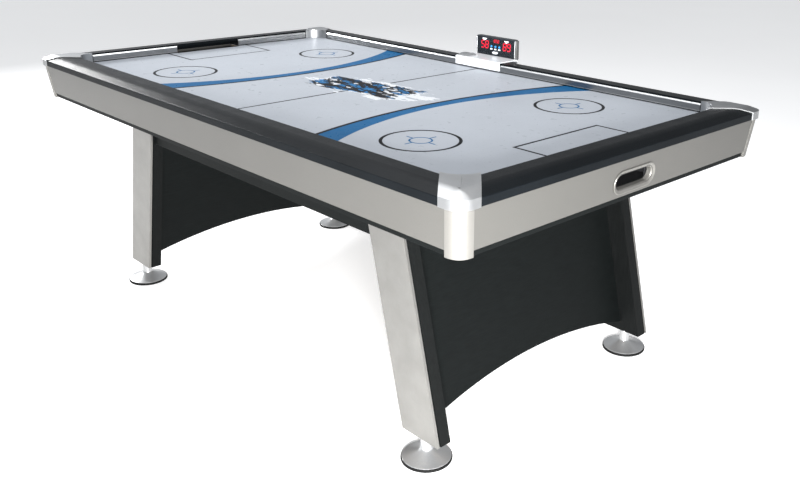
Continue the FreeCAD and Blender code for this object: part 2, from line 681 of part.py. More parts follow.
def goals():
    """Goal boxes, their beam sensors, and the bezels of the puck returns."""
    sensors = []
    for name, sign in ENDS:
        turn = 90 if sign > 0 else 270
        def along(low, high):
            """Two distances from the middle, put in order for this end."""
            return (f"({low})", f"({high})") if sign > 0 else (f"-({high})", f"-({low})")
        back = f"{GOAL_BOX_FRONT} - goal_box_depth"
        x_low, x_high = along(back, GOAL_BOX_FRONT)
        outside = box((x_low, f"-{GOAL_HALF}", GOAL_FLOOR),
                      (x_high, GOAL_HALF, f"{BOARD_UNDERSIDE} - fit_gap"))
        x_low, x_high = along(f"{back} + goal_wall", f"{GOAL_BOX_FRONT} - goal_wall")
        inside = box((x_low, "-goal_width / 2", f"{GOAL_FLOOR} + goal_wall"),
                     (x_high, "goal_width / 2", "surface_height"))
        x_low, x_high = along(f"{GOAL_BOX_FRONT} - 2 * goal_wall", f"{GOAL_BOX_FRONT} + goal_wall")
        mouth = box((x_low, "-return_width / 2", f"{RETURN_HEIGHT} - return_opening / 2"),
                    (x_high, "return_width / 2", f"{RETURN_HEIGHT} + return_opening / 2"))
        beam_along = f"{sign} * ({GOAL_BOX_FRONT} - goal_box_depth / 2)"
        beam_height = f"({GOAL_FLOOR} + sensor_rise)"
        beam = cylinder("sensor_beam", f"3 * {GOAL_HALF}", beam_along, f"1.5 * {GOAL_HALF}",
                        beam_height, axis=(1, 0, 0), turn=90)
        node(cut(outside, inside, mouth, beam), f"goal_box_{name}")

        for side in (1, -1):
            low, high = ((GOAL_HALF, f"{GOAL_HALF} + sensor_size") if side > 0
                         else (f"-{GOAL_HALF} - sensor_size", f"-{GOAL_HALF}"))
            sensors.append(box((f"{beam_along} - sensor_size / 2", low, f"{beam_height} - sensor_size / 2"),
                               (f"{beam_along} + sensor_size / 2", high, f"{beam_height} + sensor_size / 2")))

        sleeve = "return_width + 2 * bezel_wall", "return_opening + 2 * bezel_wall"
        flange = stadium(f"{sleeve[0]} + 2 * bezel_flange", f"{sleeve[1]} + 2 * bezel_flange",
                         "bezel_thickness", "0 * fit_gap")
        tube = stadium(*sleeve, "bezel_depth + bezel_thickness", "-bezel_depth")
        bore = stadium("return_width", "return_opening", "2 * bezel_depth + 2 * bezel_thickness",
                       "-bezel_depth - bezel_thickness")
        node(at_return(cut(fuse(flange, tube), bore), turn), f"return_bezel_{name}")
    node(group(*sensors), "goal_sensors")


# ------------------------------------------------------------------------- legs

def bolt_places():
    """Where the leg bolts pass through the steel plates and the cabinet floor."""
    places = []
    for _, _, sign_x, sign_y in CORNERS:
        middle_x = f"{sign_x} * ({FOOT_SPREAD} - {LEG_SLOPE} * {LEG_HEIGHT})"
        middle_y = f"{sign_y} * {LEG_MIDDLE}"
        for step_x in (-1, 1):
            for step_y in (-1, 1):
                places.append((f"{middle_x} + {step_x} * leg_width / 3",
                               f"{middle_y} + {step_y} * (leg_depth + leg_plate_margin) / 2"))
    return places


def legs():
    """Leg cores with their metal face plates, drawn as level sections that lean."""
    plates = []
    for name, _, sign_x, sign_y in CORNERS:
        def along(distance):
            return f"{sign_x} * ({FOOT_SPREAD} + {distance})"
        def across(depth):
            return f"{sign_y} * ({LEG_OUTER} - ({depth}))"
        lean = (f"-{sign_x} * {LEG_SLOPE}", "0", "1")
        half = "leg_width / 2"
        groove = "leg_face + leg_flange"
        body = new_body()
        section = sketch(body, "XY_Plane", (
            (along(f"-({half} - leg_face)"), across("leg_face")),
            (along(f"{half} - leg_face"), across("leg_face")),
            (along(f"{half} - leg_face"), across(groove)),
            (along(f"{half} - 2 * leg_face"), across(groove)),
            (along(f"{half} - 2 * leg_face"), across(f"{groove} + leg_groove")),
            (along(half), across(f"{groove} + leg_groove")),
            (along(half), across("leg_face + leg_depth")),
            (along(f"-({half})"), across("leg_face + leg_depth")),
            (along(f"-({half})"), across(f"{groove} + leg_groove")),
            (along(f"-({half} - 2 * leg_face)"), across(f"{groove} + leg_groove")),
            (along(f"-({half} - 2 * leg_face)"), across(groove)),
            (along(f"-({half} - leg_face)"), across(groove))))
        pad(body, section, LEG_HEIGHT, slant=lean)
        place(body, z="leg_bottom")
        bore = cylinder("stud_radius + stud_clearance", "stud_grip + stud_room + leg_bottom",
                        f"{sign_x} * {FOOT_SPREAD}", f"{sign_y} * {LEG_MIDDLE}",
                        "0 * fit_gap")
        node(cut(body, bore), f"leg_{name}")

        cover = new_body()
        section = sketch(cover, "XY_Plane", (
            (along(f"-({half})"), across("0")), (along(half), across("0")),
            (along(half), across(groove)), (along(f"{half} - leg_face"), across(groove)),
            (along(f"{half} - leg_face"), across("leg_face")),
            (along(f"-({half} - leg_face)"), across("leg_face")),
            (along(f"-({half} - leg_face)"), across(groove)), (along(f"-({half})"), across(groove))))
        pad(cover, section, LEG_HEIGHT, slant=lean)
        place(cover, z="leg_bottom")
        plates.append(cover)
    node(group(*plates), "leg_face_plates")


def leg_fixings():
    """Steel plates on the leg tops, and the bolts that hold them to the cabinet."""
    plates, bolts = [], []
    places = bolt_places()
    for number, (_, _, sign_x, sign_y) in enumerate(CORNERS):
        middle_x = f"{sign_x} * ({FOOT_SPREAD} - {LEG_SLOPE} * {LEG_HEIGHT})"
        middle_y = f"{sign_y} * {LEG_MIDDLE}"
        half_x = "(leg_width / 2)"
        half_y = "(leg_depth / 2 + leg_plate_margin)"
        plate = box((f"{middle_x} - {half_x}", f"{middle_y} - {half_y}", LEG_TOP),
                    (f"{middle_x} + {half_x}", f"{middle_y} + {half_y}", f"{LEG_TOP} + leg_plate"))
        holes = [cylinder("bolt_radius + bolt_clearance", "4 * leg_plate", x, y, f"{LEG_TOP} - leg_plate")
                 for x, y in places[4 * number:4 * number + 4]]
        plates.append(cut(plate, *holes))
    for x, y in places:
        shank = cylinder("bolt_radius", "leg_plate + plenum_floor + bolt_head_height", x, y,
                         f"{LEG_TOP} - bolt_head_height / 2")
        head = doc.addObject("Part::Prism", "Head")
        head.Polygon = 6
        bind(head, Circumradius="bolt_head", Height="bolt_head_height")
        place(head, x, y, f"{LEG_TOP} - bolt_head_height")
        bolts.append(fuse(shank, head))
    node(group(*plates), "leg_plates")
    node(group(*bolts), "leg_bolts")


def end_panels():
    """Arched panels between the two legs of each end, leaning with them."""
    panels = []
    for _, sign in ENDS:
        face = f"({FOOT_SPREAD} + leg_width / 2 - panel_setback)"
        half = f"({LEG_OUTER} - leg_face - leg_depth - fit_gap)"
        body = new_body()
        section = sketch(body, "XY_Plane", (
            (f"{sign} * {face}", f"-{half}"), (f"{sign} * {face}", half),
            (f"{sign} * ({face} - panel_thickness)", half),
            (f"{sign} * ({face} - panel_thickness)", f"-{half}")))
        pad(body, section, LEG_HEIGHT, slant=(f"-{sign} * {LEG_SLOPE}", "0", "1"))
        arch_radius = f"(({half} ^ 2 + arch_rise ^ 2) / (2 * arch_rise))"
        foot = "(arch_foot - leg_bottom)"
        arch = sketch(body, "YZ_Plane", (
            (half, "-leg_bottom"), (half, foot, f"+{arch_radius}"), (f"-{half}", foot),
            (f"-{half}", "-leg_bottom")))
        pocket(body, arch, "2 * table_length", through=True)
        place(body, z="leg_bottom")
        panels.append(body)
    node(group(*panels), "end_panels")


def beams():
    """Long beams under the cabinet, cut at their ends to the lean of the legs."""
    boards = []
    top = CABINET_UNDERSIDE
    foot = f"({top} - beam_height)"
    for side in (-1, 1):
        def reach(height):
            """Half the beam's length where its ends meet the leaning legs."""
            return f"({FOOT_SPREAD} - leg_width / 2 - {LEG_SLOPE} * ({height} - leg_bottom) - fit_gap)"
        low = f"{side} * {BEAM_OUTER}" if side < 0 else f"{side} * ({BEAM_OUTER} - beam_thickness)"
        body = new_body()
        section = sketch(body, "XZ_Plane", (
            (f"-{reach(foot)}", foot), (reach(foot), foot), (reach(LEG_TOP), LEG_TOP),
            (f"-{reach(LEG_TOP)}", LEG_TOP)))
        pad(body, section, "beam_thickness", reverse=True)
        place(body, y=low)
        boards.append(body)
    node(group(*boards), "long_beams")


def feet():
    """Levelling feet: a turned disc with collar and stud, in a rubber ring."""
    collar_top = "(leg_bottom - foot_collar_gap)"
    for name, _, sign_x, sign_y in CORNERS:
        where = (f"{sign_x} * {FOOT_SPREAD}", f"{sign_y} * {LEG_MIDDLE}")
        body = new_body()
        rim_top = "foot_ring_height + foot_rim_height"
        profile = sketch(body, "XZ_Plane", (
            ("0", "foot_sole"), ("foot_disc_radius", "foot_sole"),
            ("foot_disc_radius", "foot_ring_height"), ("foot_rim_radius", "foot_ring_height"),
            ("foot_rim_radius", rim_top),
            ("foot_collar_radius", "foot_cone_height"), ("foot_collar_radius - foot_taper", collar_top),
            ("stud_radius", collar_top), ("stud_radius", "leg_bottom + stud_grip"),
            ("0", "leg_bottom + stud_grip")))
        turned = body.newObject("PartDesign::Revolution", "Turned")
        turned.Profile = profile
        turned.ReferenceAxis = (profile, ["V_Axis"])
        turned.Angle = 360
        place(body, *where)
        node(body, f"foot_{name}")
        outer = cylinder("foot_ring_radius", "foot_ring_height", *where)
        hole = cylinder("foot_disc_radius", "2 * foot_ring_height", *where, "-foot_ring_height / 2")
        node(cut(outer, hole), f"foot_ring_{name}")


# ----------------------------------------------------------------------- scorer

def scorer():
    """The electronic scorer and the saddle that carries it on the back rail."""
    inner = f"({HALF_WIDTH} - {RAIL_WIDTH} - fit_gap)"
    outer = f"({HALF_WIDTH} + fit_gap)"
    over = f"({RAIL_TOP} + fit_gap)"
    saddle = new_body()
    section = sketch(saddle, "YZ_Plane", (
        (inner, f"{RAIL_TOP} - saddle_skirt"), (inner, over), (outer, over),
        (outer, f"{RAIL_TOP} - saddle_skirt"), (f"{outer} + saddle_wall", f"{RAIL_TOP} - saddle_skirt"),
        (f"{outer} + saddle_wall", over, "+saddle_wall"), (outer, f"{over} + saddle_wall"),
        (inner, f"{over} + saddle_wall", "+saddle_wall"), (f"{inner} - saddle_wall", over),
        (f"{inner} - saddle_wall", f"{RAIL_TOP} - saddle_skirt")))
    pad(saddle, section, "saddle_width", middle=True)
    node(saddle, "scorer_saddle")

    face = SCORER_FACE
    back = f"({face} + scorer_depth)"
    half = "(scorer_width / 2)"
    block = box((f"-{half}", face, SCORER_BASE), (half, back, SCORER_TOP))
    doc.recompute()
    rounded = doc.addObject("Part::Fillet", "Rounded")
    rounded.Base = block
    upright = [i + 1 for i, edge in enumerate(block.Shape.Edges)
               if edge.BoundBox.YLength > value("scorer_depth") / 2]
    rounded.Edges = [(i, value("scorer_corner"), value("scorer_corner")) for i in upright]
    hollow = box((f"-{half} + scorer_wall", f"{face} + scorer_wall", f"{SCORER_BASE} + scorer_wall"),
                 (f"{half} - scorer_wall", f"{back} + scorer_wall", f"{SCORER_TOP} - scorer_wall"))
    recess = box((f"-{half} + window_margin", f"{face} - overcut", f"{SCORER_BASE} + window_margin"),
                 (f"{half} - window_margin", f"{face} + window_thickness", f"{SCORER_TOP} - window_margin"))
    openings = []
    for x, wide, tall, drop in displays():
        reach = f"({wide} / 2 + display_clearance)"
        rise = f"({tall} / 2 + display_clearance)"
        openings.append(box((f"{x} - {reach}", f"{face} - overcut", f"{SCORER_TOP} - {drop} - {rise}"),
                            (f"{x} + {reach}", f"{face} + 2 * scorer_wall",
                             f"{SCORER_TOP} - {drop} + {rise}")))
    stems = [button_hole(x) for x in button_places()]
    screw_bores = [cylinder("screw_radius + bolt_clearance", "scorer_depth", x, f"{back} + scorer_wall", z,
                            axis=(1, 0, 0), turn=90) for x, z in screw_places()]
    shell = cut(rounded, hollow, recess, *openings, *stems)
    node(shell, "scorer_housing")

    edge = "(scorer_wall + fit_gap)"
    cover = box((f"-{half} + {edge}", f"{back} - scorer_wall", f"{SCORER_BASE} + {edge}"),
                (f"{half} - {edge}", back, f"{SCORER_TOP} - {edge}"))
    node(cut(cover, *screw_bores), "scorer_back_cover")

    edge = "(window_margin + window_clearance)"
    pane = box((f"-{half} + {edge}", face, f"{SCORER_BASE} + {edge}"),
               (f"{half} - {edge}", f"{face} + window_thickness", f"{SCORER_TOP} - {edge}"))
    node(cut(pane, *[button_hole(x) for x in button_places()]), "scorer_window")

    board_face = f"({face} + board_setback)"
    board = box((f"-{half} + 2 * scorer_wall", board_face, f"{SCORER_BASE} + 2 * scorer_wall"),
                (f"{half} - 2 * scorer_wall", f"{board_face} + board_thickness",
                 f"{SCORER_TOP} - 2 * scorer_wall"))
    node(board, "scorer_circuit_board")
    blocks = [box((f"{x} - {w} / 2", f"{face} + window_thickness", f"{SCORER_TOP} - {drop} - {tall} / 2"),
                  (f"{x} + {w} / 2", board_face, f"{SCORER_TOP} - {drop} + {tall} / 2"))
              for x, w, tall, drop in displays()]
    node(group(*blocks), "scorer_displays")

    for x, name in zip(button_places(), ("left", "middle", "right")):
        height = f"{SCORER_TOP} - button_drop"
        stem = cylinder("button_radius", "button_proud + scorer_wall + button_travel", x,
                        f"{face} - button_proud", height, axis=(1, 0, 0), turn=-90)
        flange = cylinder("button_radius + button_flange", "button_flange_depth", x,
                          f"{face} + scorer_wall + fit_gap", height, axis=(1, 0, 0), turn=-90)
        node(fuse(stem, flange), f"scorer_button_{name}")

    screws = []
    for x, z in screw_places():
        shank = cylinder("screw_radius", "scorer_wall + screw_bite", x, back, z, axis=(1, 0, 0), turn=90)
        head = cylinder("screw_head", "screw_head_height", x, f"{back} + screw_head_height", z,
                        axis=(1, 0, 0), turn=90)
        screws.append(fuse(shank, head))
    node(group(*screws), "scorer_screws")


def displays():
    """Each display's place along the scorer, width, height and drop from the top."""
    return (("-score_offset", "score_width", "score_height", "score_drop"),
            ("0 * fit_gap", "timer_width", "timer_height", "timer_drop"),
            ("score_offset", "score_width", "score_height", "score_drop"))


def button_places():
    return ("-button_spacing", "0 * fit_gap", "button_spacing")


def button_hole(x):
    """The hole a button's stem slides in, through the window and the shell."""
    return cylinder("button_radius + button_clearance", "4 * scorer_wall", x,
                    f"{SCORER_FACE} - scorer_wall", f"{SCORER_TOP} - button_drop",
                    axis=(1, 0, 0), turn=-90)


def screw_places():
    return [(f"{i} * (scorer_width / 2 - 4 * scorer_wall)",
             f"{SCORER_BASE} + scorer_height / 2 + {j} * (scorer_height / 2 - 4 * scorer_wall)")
            for i in (-1, 1) for j in (-1, 1)]


# ------------------------------------------------------------- blower and power

def blower():
    """A drum blower under the cabinet that feeds the plenum."""
    top = CABINET_UNDERSIDE
    foot = f"({top} - blower_height)"
    drum = cylinder("blower_radius", "blower_height", z=foot)
    hollow = cylinder("blower_radius - blower_wall", "blower_height - 2 * blower_wall",
                      z=f"{foot} + blower_wall")
    outlet = cylinder("blower_outlet", "3 * blower_wall", z=f"{top} - 2 * blower_wall")
    intakes = []
    for number in range(INTAKE_HOLES):
        angle = 360 * number / INTAKE_HOLES
        intakes.append(cylinder("intake_radius", "3 * blower_wall", f"intake_circle * cos({angle} * 1 deg)",
                                f"intake_circle * sin({angle} * 1 deg)", f"{foot} - blower_wall"))
    node(cut(drum, hollow, outlet, *intakes), "blower_housing")

    motor_foot = f"({foot} + blower_wall)"
    case = cylinder("motor_radius", "motor_height", z=motor_foot)
    bore = cylinder("spindle_radius + spindle_clearance", "motor_height", z=f"{motor_foot} + blower_wall")
    node(cut(case, bore), "blower_motor")

    wheel_foot = f"({motor_foot} + motor_height + impeller_gap)"
    disc = cylinder("impeller_radius", "impeller_plate", z=wheel_foot)
    hub = cylinder("impeller_hub", "impeller_height / 2", z=wheel_foot)
    spindle_foot = f"({motor_foot} + blower_wall + spindle_end_gap)"
    spindle = cylinder("spindle_radius", f"{wheel_foot} + impeller_plate - {spindle_foot}", z=spindle_foot)
    wheel_top = f"({wheel_foot} + impeller_height)"
    ring = cut(cylinder("impeller_radius", "impeller_plate", z=f"{wheel_top} - impeller_plate"),
               cylinder("impeller_radius - impeller_ring", "3 * impeller_plate",
                        z=f"{wheel_top} - 2 * impeller_plate"))
    outer = "(impeller_radius - blade_margin)"
    inner = f"({outer} - blade_depth)"
    blades = []
    for number in range(BLADES):
        angle = 360 * number / BLADES
        blade = box((inner, "-blade_thickness / 2", wheel_foot), (outer, "blade_thickness / 2", wheel_top))
        place(blade, f"{inner} * cos({angle} * 1 deg)", f"{inner} * sin({angle} * 1 deg)", wheel_foot,
              turn=angle)
        blades.append(blade)
    node(fuse(disc, hub, spindle, ring, *blades), "blower_impeller")


def pivot_round(radius, length):
    """A round of the rocker that lies along Y, with its middle at the origin."""
    return cylinder(radius, length, y=f"({length}) / 2", axis=(1, 0, 0), turn=90)


def power():
    """The switch box under the cabinet, with its rocker and mains inlet."""
    top = CABINET_UNDERSIDE
    foot = f"({top} - switch_box_height)"
    case = box(("switch_along - switch_box_length / 2", f"{SWITCH_ACROSS} - switch_box_width / 2", foot),
               ("switch_along + switch_box_length / 2", f"{SWITCH_ACROSS} + switch_box_width / 2", top))
    rocker_x = "(switch_along - switch_box_length / 4)"
    inlet_x = "(switch_along + switch_box_length / 4)"
    well = box((f"{rocker_x} - rocker_length / 2 - rocker_clearance",
                f"{SWITCH_ACROSS} - rocker_width / 2 - rocker_clearance", f"{foot} - overcut"),
               (f"{rocker_x} + rocker_length / 2 + rocker_clearance",
                f"{SWITCH_ACROSS} + rocker_width / 2 + rocker_clearance", f"{foot} + rocker_radius"))
    pivot = f"({foot} + rocker_radius * 0.2)"
    reach = "rocker_width + 2 * (rocker_clearance + rocker_pin + rocker_end_play)"
    sockets = cylinder("rocker_pin + rocker_pin_clearance", reach, rocker_x,
                       f"{SWITCH_ACROSS} + ({reach}) / 2", pivot, axis=(1, 0, 0), turn=90)
    inlet = box((f"{inlet_x} - inlet_length / 2", f"{SWITCH_ACROSS} - inlet_width / 2",
                 f"{foot} - overcut"),
                (f"{inlet_x} + inlet_length / 2", f"{SWITCH_ACROSS} + inlet_width / 2",
                 f"{foot} + inlet_depth"))
    node(cut(case, well, sockets, inlet), "switch_box")

    slab = box(("rocker_clearance - rocker_length / 2", "-rocker_width / 2", "-rocker_radius * 0.3"),
               ("rocker_length / 2 - rocker_clearance", "rocker_width / 2", "rocker_radius * 0.15"))
    barrel = pivot_round("rocker_radius / 3", "rocker_width")
    pins = pivot_round("rocker_pin", "rocker_width + 2 * rocker_clearance + 2 * rocker_pin")
    rocker = fuse(slab, barrel, pins)
    place(rocker, rocker_x, SWITCH_ACROSS, pivot, axis=(0, 1, 0), turn="rocker_tilt")
    node(rocker, "power_rocker")


# ------------------------------------------------------------- build and export

def check(item):
    """Stop if an object failed or its shape is unfit to write."""
    bad = [part.Name for part in doc.Objects if {"Invalid", "Error"} & set(part.State)]
    if bad:
        raise RuntimeError(f"objects failed to build: {bad}")
    if item.Shape.isNull() or not item.Shape.isValid() or not item.Shape.Solids:
        raise RuntimeError(f"{item.Label} has no sound solid")


playfield()
plenum()
aprons()
base_trims()
corner_posts()
rails()
bumpers()
corner_caps()
goals()
legs()
leg_fixings()
end_panels()
beams()
feet()
scorer()
blower()
power()
doc.recompute()

os.makedirs("parts", exist_ok=True)
for item in nodes:
    check(item)
for item in nodes:
    item.Shape.exportStep(f"parts/{item.Label}.step")
print(len(nodes), "nodes")
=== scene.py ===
"""Looks for an air hockey table: finishes, detail pieces, studio and camera.

Lengths are in metres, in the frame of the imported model: +X along the table, +Y
across it to the scorer, +Z up, with the origin on the floor under its middle.
"""

import json
import math

import bpy
from bpy.props import FloatProperty, FloatVectorProperty, PointerProperty
from mathutils import Matrix, Vector

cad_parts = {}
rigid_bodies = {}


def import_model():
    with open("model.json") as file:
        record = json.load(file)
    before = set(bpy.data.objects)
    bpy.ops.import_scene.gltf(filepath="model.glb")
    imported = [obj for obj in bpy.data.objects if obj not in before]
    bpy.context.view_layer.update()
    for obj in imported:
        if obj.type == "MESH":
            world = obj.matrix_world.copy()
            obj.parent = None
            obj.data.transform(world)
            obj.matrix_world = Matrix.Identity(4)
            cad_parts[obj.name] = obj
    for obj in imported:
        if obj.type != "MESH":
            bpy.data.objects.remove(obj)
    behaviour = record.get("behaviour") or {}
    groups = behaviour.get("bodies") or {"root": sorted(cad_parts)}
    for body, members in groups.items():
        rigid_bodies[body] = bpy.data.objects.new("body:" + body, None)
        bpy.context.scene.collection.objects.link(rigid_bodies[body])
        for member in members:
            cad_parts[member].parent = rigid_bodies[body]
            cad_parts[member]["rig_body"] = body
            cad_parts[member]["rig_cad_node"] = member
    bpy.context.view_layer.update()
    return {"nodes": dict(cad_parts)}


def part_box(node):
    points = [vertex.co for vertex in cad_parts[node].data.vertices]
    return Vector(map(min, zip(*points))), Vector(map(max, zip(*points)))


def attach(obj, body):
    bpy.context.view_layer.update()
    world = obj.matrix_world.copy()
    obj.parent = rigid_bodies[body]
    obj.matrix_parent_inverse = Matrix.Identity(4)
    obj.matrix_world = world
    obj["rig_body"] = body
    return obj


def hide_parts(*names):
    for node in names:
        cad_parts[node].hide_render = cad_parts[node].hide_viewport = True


bl_info = {
    "name": "Air hockey table looks",
    "version": (1, 0, 0),
    "blender": (4, 5, 0),
    "location": "View3D > Sidebar > Air Table",
    "description": "Finishes and detail pieces for an air hockey table",
    "category": "Object",
}

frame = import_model()

CORNERS = ("front_left", "front_right", "back_right", "back_left")
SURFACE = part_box("playfield_board")[1].z


# ------------------------------------------------------------------- settings

def colour(name, description, default):
    return FloatVectorProperty(name=name, description=description, default=default,
                               subtype="COLOR", size=3, min=0.0, max=1.0)


def length(name, description, default):
    return FloatProperty(name=name, description=description, default=default, min=0.0,
                         unit="LENGTH", precision=4)


class TableFinish(bpy.types.PropertyGroup):
    """Colours of the table's finishes."""

    ice: colour("Ice", "Playing surface laminate", (0.430, 0.458, 0.500))
    ice_blue: colour("Ice blue", "Printed bands and marks", (0.010, 0.110, 0.265))
    ink: colour("Ink", "Printed lines", (0.003, 0.003, 0.004))
    rail: colour("Rail wrap", "Wrapped rails", (0.0035, 0.0045, 0.0055))
    silver_foil: colour("Silver foil", "Foil on the aprons", (0.112, 0.109, 0.101))
    bright_metal: colour("Bright metal", "Caps, posts and metal strips", (0.66, 0.67, 0.68))
    leg_dark: colour("Leg board", "Foil on the legs' boards", (0.0045, 0.005, 0.005))
    black_board: colour("Black board", "End panels, beams and base trim", (0.0035, 0.0043, 0.0043))
    fibreboard: colour("Fibreboard", "Bare boards under the surface", (0.22, 0.165, 0.115))
    rubber: colour("Rubber", "Foot rings", (0.004, 0.004, 0.004))
    scorer: colour("Scorer", "Scorer shell", (0.016, 0.019, 0.023))
    glow: colour("Display glow", "Lit display segments", (0.66, 0.002, 0.022))
    button: colour("Button", "Scorer buttons", (0.045, 0.30, 0.72))


class TableDetail(bpy.types.PropertyGroup):
    """Sizes of the printed marks and of the edge rounding."""

    board_edge: length("Board edge", "Rounding of wrapped board edges", 0.0010)
    metal_edge: length("Metal edge", "Rounding of sheet metal edges", 0.0005)
    circle_radius: length("Face-off circle", "Radius of a face-off circle", 0.102)
    circle_along: length("Circle along", "Face-off circle from the middle, along the table", 0.6065)
    circle_across: length("Circle across", "Face-off circle from the middle, across", 0.2975)
    line_width: length("Line width", "Printed thin lines", 0.0082)
    hole_spacing: length("Hole spacing", "Spacing of the air holes", 0.0254)
    hole_radius: length("Hole radius", "Radius of an air hole", 0.0007)
    rib_spacing: length("Rib spacing", "Spacing of the ribs on the bumper strips", 0.0032)
    rib_depth: length("Rib depth", "Depth of the grooves between the ribs", 0.0009)


def finish():
    return bpy.context.scene.table_finish


def detail():
    return bpy.context.scene.table_detail


# -------------------------------------------------------------- shader maths

class Field:
    """A value that varies over a surface: arithmetic on it adds Math nodes."""

    def __init__(self, paint, socket):
        self.paint = paint
        self.socket = socket

    def out(self, name):
        """Another output of the same node."""
        return Field(self.paint, self.socket.node.outputs[name])

    def math(self, operation, *values):
        return self.paint.add("ShaderNodeMath", {"operation": operation}, dict(enumerate(values)))

    def __add__(self, other):
        return self.math("ADD", self, other)

    __radd__ = __add__

    def __sub__(self, other):
        return self.math("SUBTRACT", self, other)

    def __rsub__(self, other):
        return self.math("SUBTRACT", other, self)

    def __mul__(self, other):
        return self.math("MULTIPLY", self, other)

    __rmul__ = __mul__

    def __truediv__(self, other):
        return self.math("DIVIDE", self, other)

    def __pow__(self, other):
        return self.math("POWER", self, other)

    def __mod__(self, other):
        return self.math("FLOORED_MODULO", self, other)

    def __abs__(self):
        return self.math("ABSOLUTE", self)

    def __or__(self, other):
        """The larger: either mask."""
        return self.math("MAXIMUM", self, other)

    def __and__(self, other):
        """The smaller: both masks."""
        return self.math("MINIMUM", self, other)

    def below(self, edge, blur):
        """1 where the value is under the edge, fading to 0 over the blur."""
        return self.paint.add("ShaderNodeMapRange", {"interpolation_type": "SMOOTHSTEP"}, {
            "Value": self, "From Min": edge - blur, "From Max": edge + blur,
            "To Min": 1.0, "To Max": 0.0})

    def spread(self, low, high, to_low=0.0, to_high=1.0):
        """The value's span from low to high, mapped to another span."""
        return self.paint.add("ShaderNodeMapRange", {}, {
            "Value": self, "From Min": low, "From Max": high, "To Min": to_low, "To Max": to_high})


class Paint:
    """A material, with its Principled BSDF and its node tree."""

    def __init__(self, name, sockets):
        self.material = bpy.data.materials.new(name)
        self.material.use_nodes = True
        self.tree = self.material.node_tree
        self.surface = self.tree.nodes["Principled BSDF"]
        for socket, value in sockets.items():
            self.feed(self.surface.inputs[socket], value)

    def add(self, kind, settings, inputs, output=0):
        """Any node: its type, its settings, then its sockets' values or links."""
        node = self.tree.nodes.new(kind)
        for name, value in settings.items():
            setattr(node, name, value)
        for name, value in inputs.items():
            self.feed(node.inputs[name], value)
        return Field(self, node.outputs[output])

    def feed(self, socket, value):
        if isinstance(value, Field):
            self.tree.links.new(value.socket, socket)
        elif hasattr(socket.default_value, "__len__") and len(socket.default_value) == 4:
            socket.default_value = (*value, 1.0) if len(value) == 3 else value
        else:
            socket.default_value = value

    def drive(self, socket, value):
        """Feed one of the surface's own sockets."""
        self.feed(self.surface.inputs[socket], value)

    def point(self):
        """The surface point in the table's frame, as a vector."""
        return self.add("ShaderNodeTexCoord", {}, {}, "Object")

    def axes(self):
        """The surface point's three coordinates."""
        split = self.add("ShaderNodeSeparateXYZ", {}, {"Vector": self.point()})
        return split.out("X"), split.out("Y"), split.out("Z")

    def stretched(self, scale):
        """The surface point with each axis scaled, for grain that runs one way."""
        return self.add("ShaderNodeMapping", {}, {"Vector": self.point(), "Scale": scale})

    def noise(self, scale, depth=2.0, rough=0.5, at=None):
        return self.add("ShaderNodeTexNoise", {}, {
            "Vector": at or self.point(), "Scale": scale, "Detail": depth, "Roughness": rough})

    def mix(self, factor, first, second):
        """First colour where the factor is 0, second where it is 1."""
        return self.add("ShaderNodeMix", {"data_type": "RGBA"}, {0: factor, 6: first, 7: second}, 2)

    def bump(self, height, distance, strength=1.0):
        self.drive("Normal", self.add("ShaderNodeBump", {}, {
            "Strength": strength, "Distance": distance, "Height": height}))


def shade(rgb, factor):
    """The colour made lighter or darker."""
    return tuple(min(1.0, part * factor) for part in rgb)


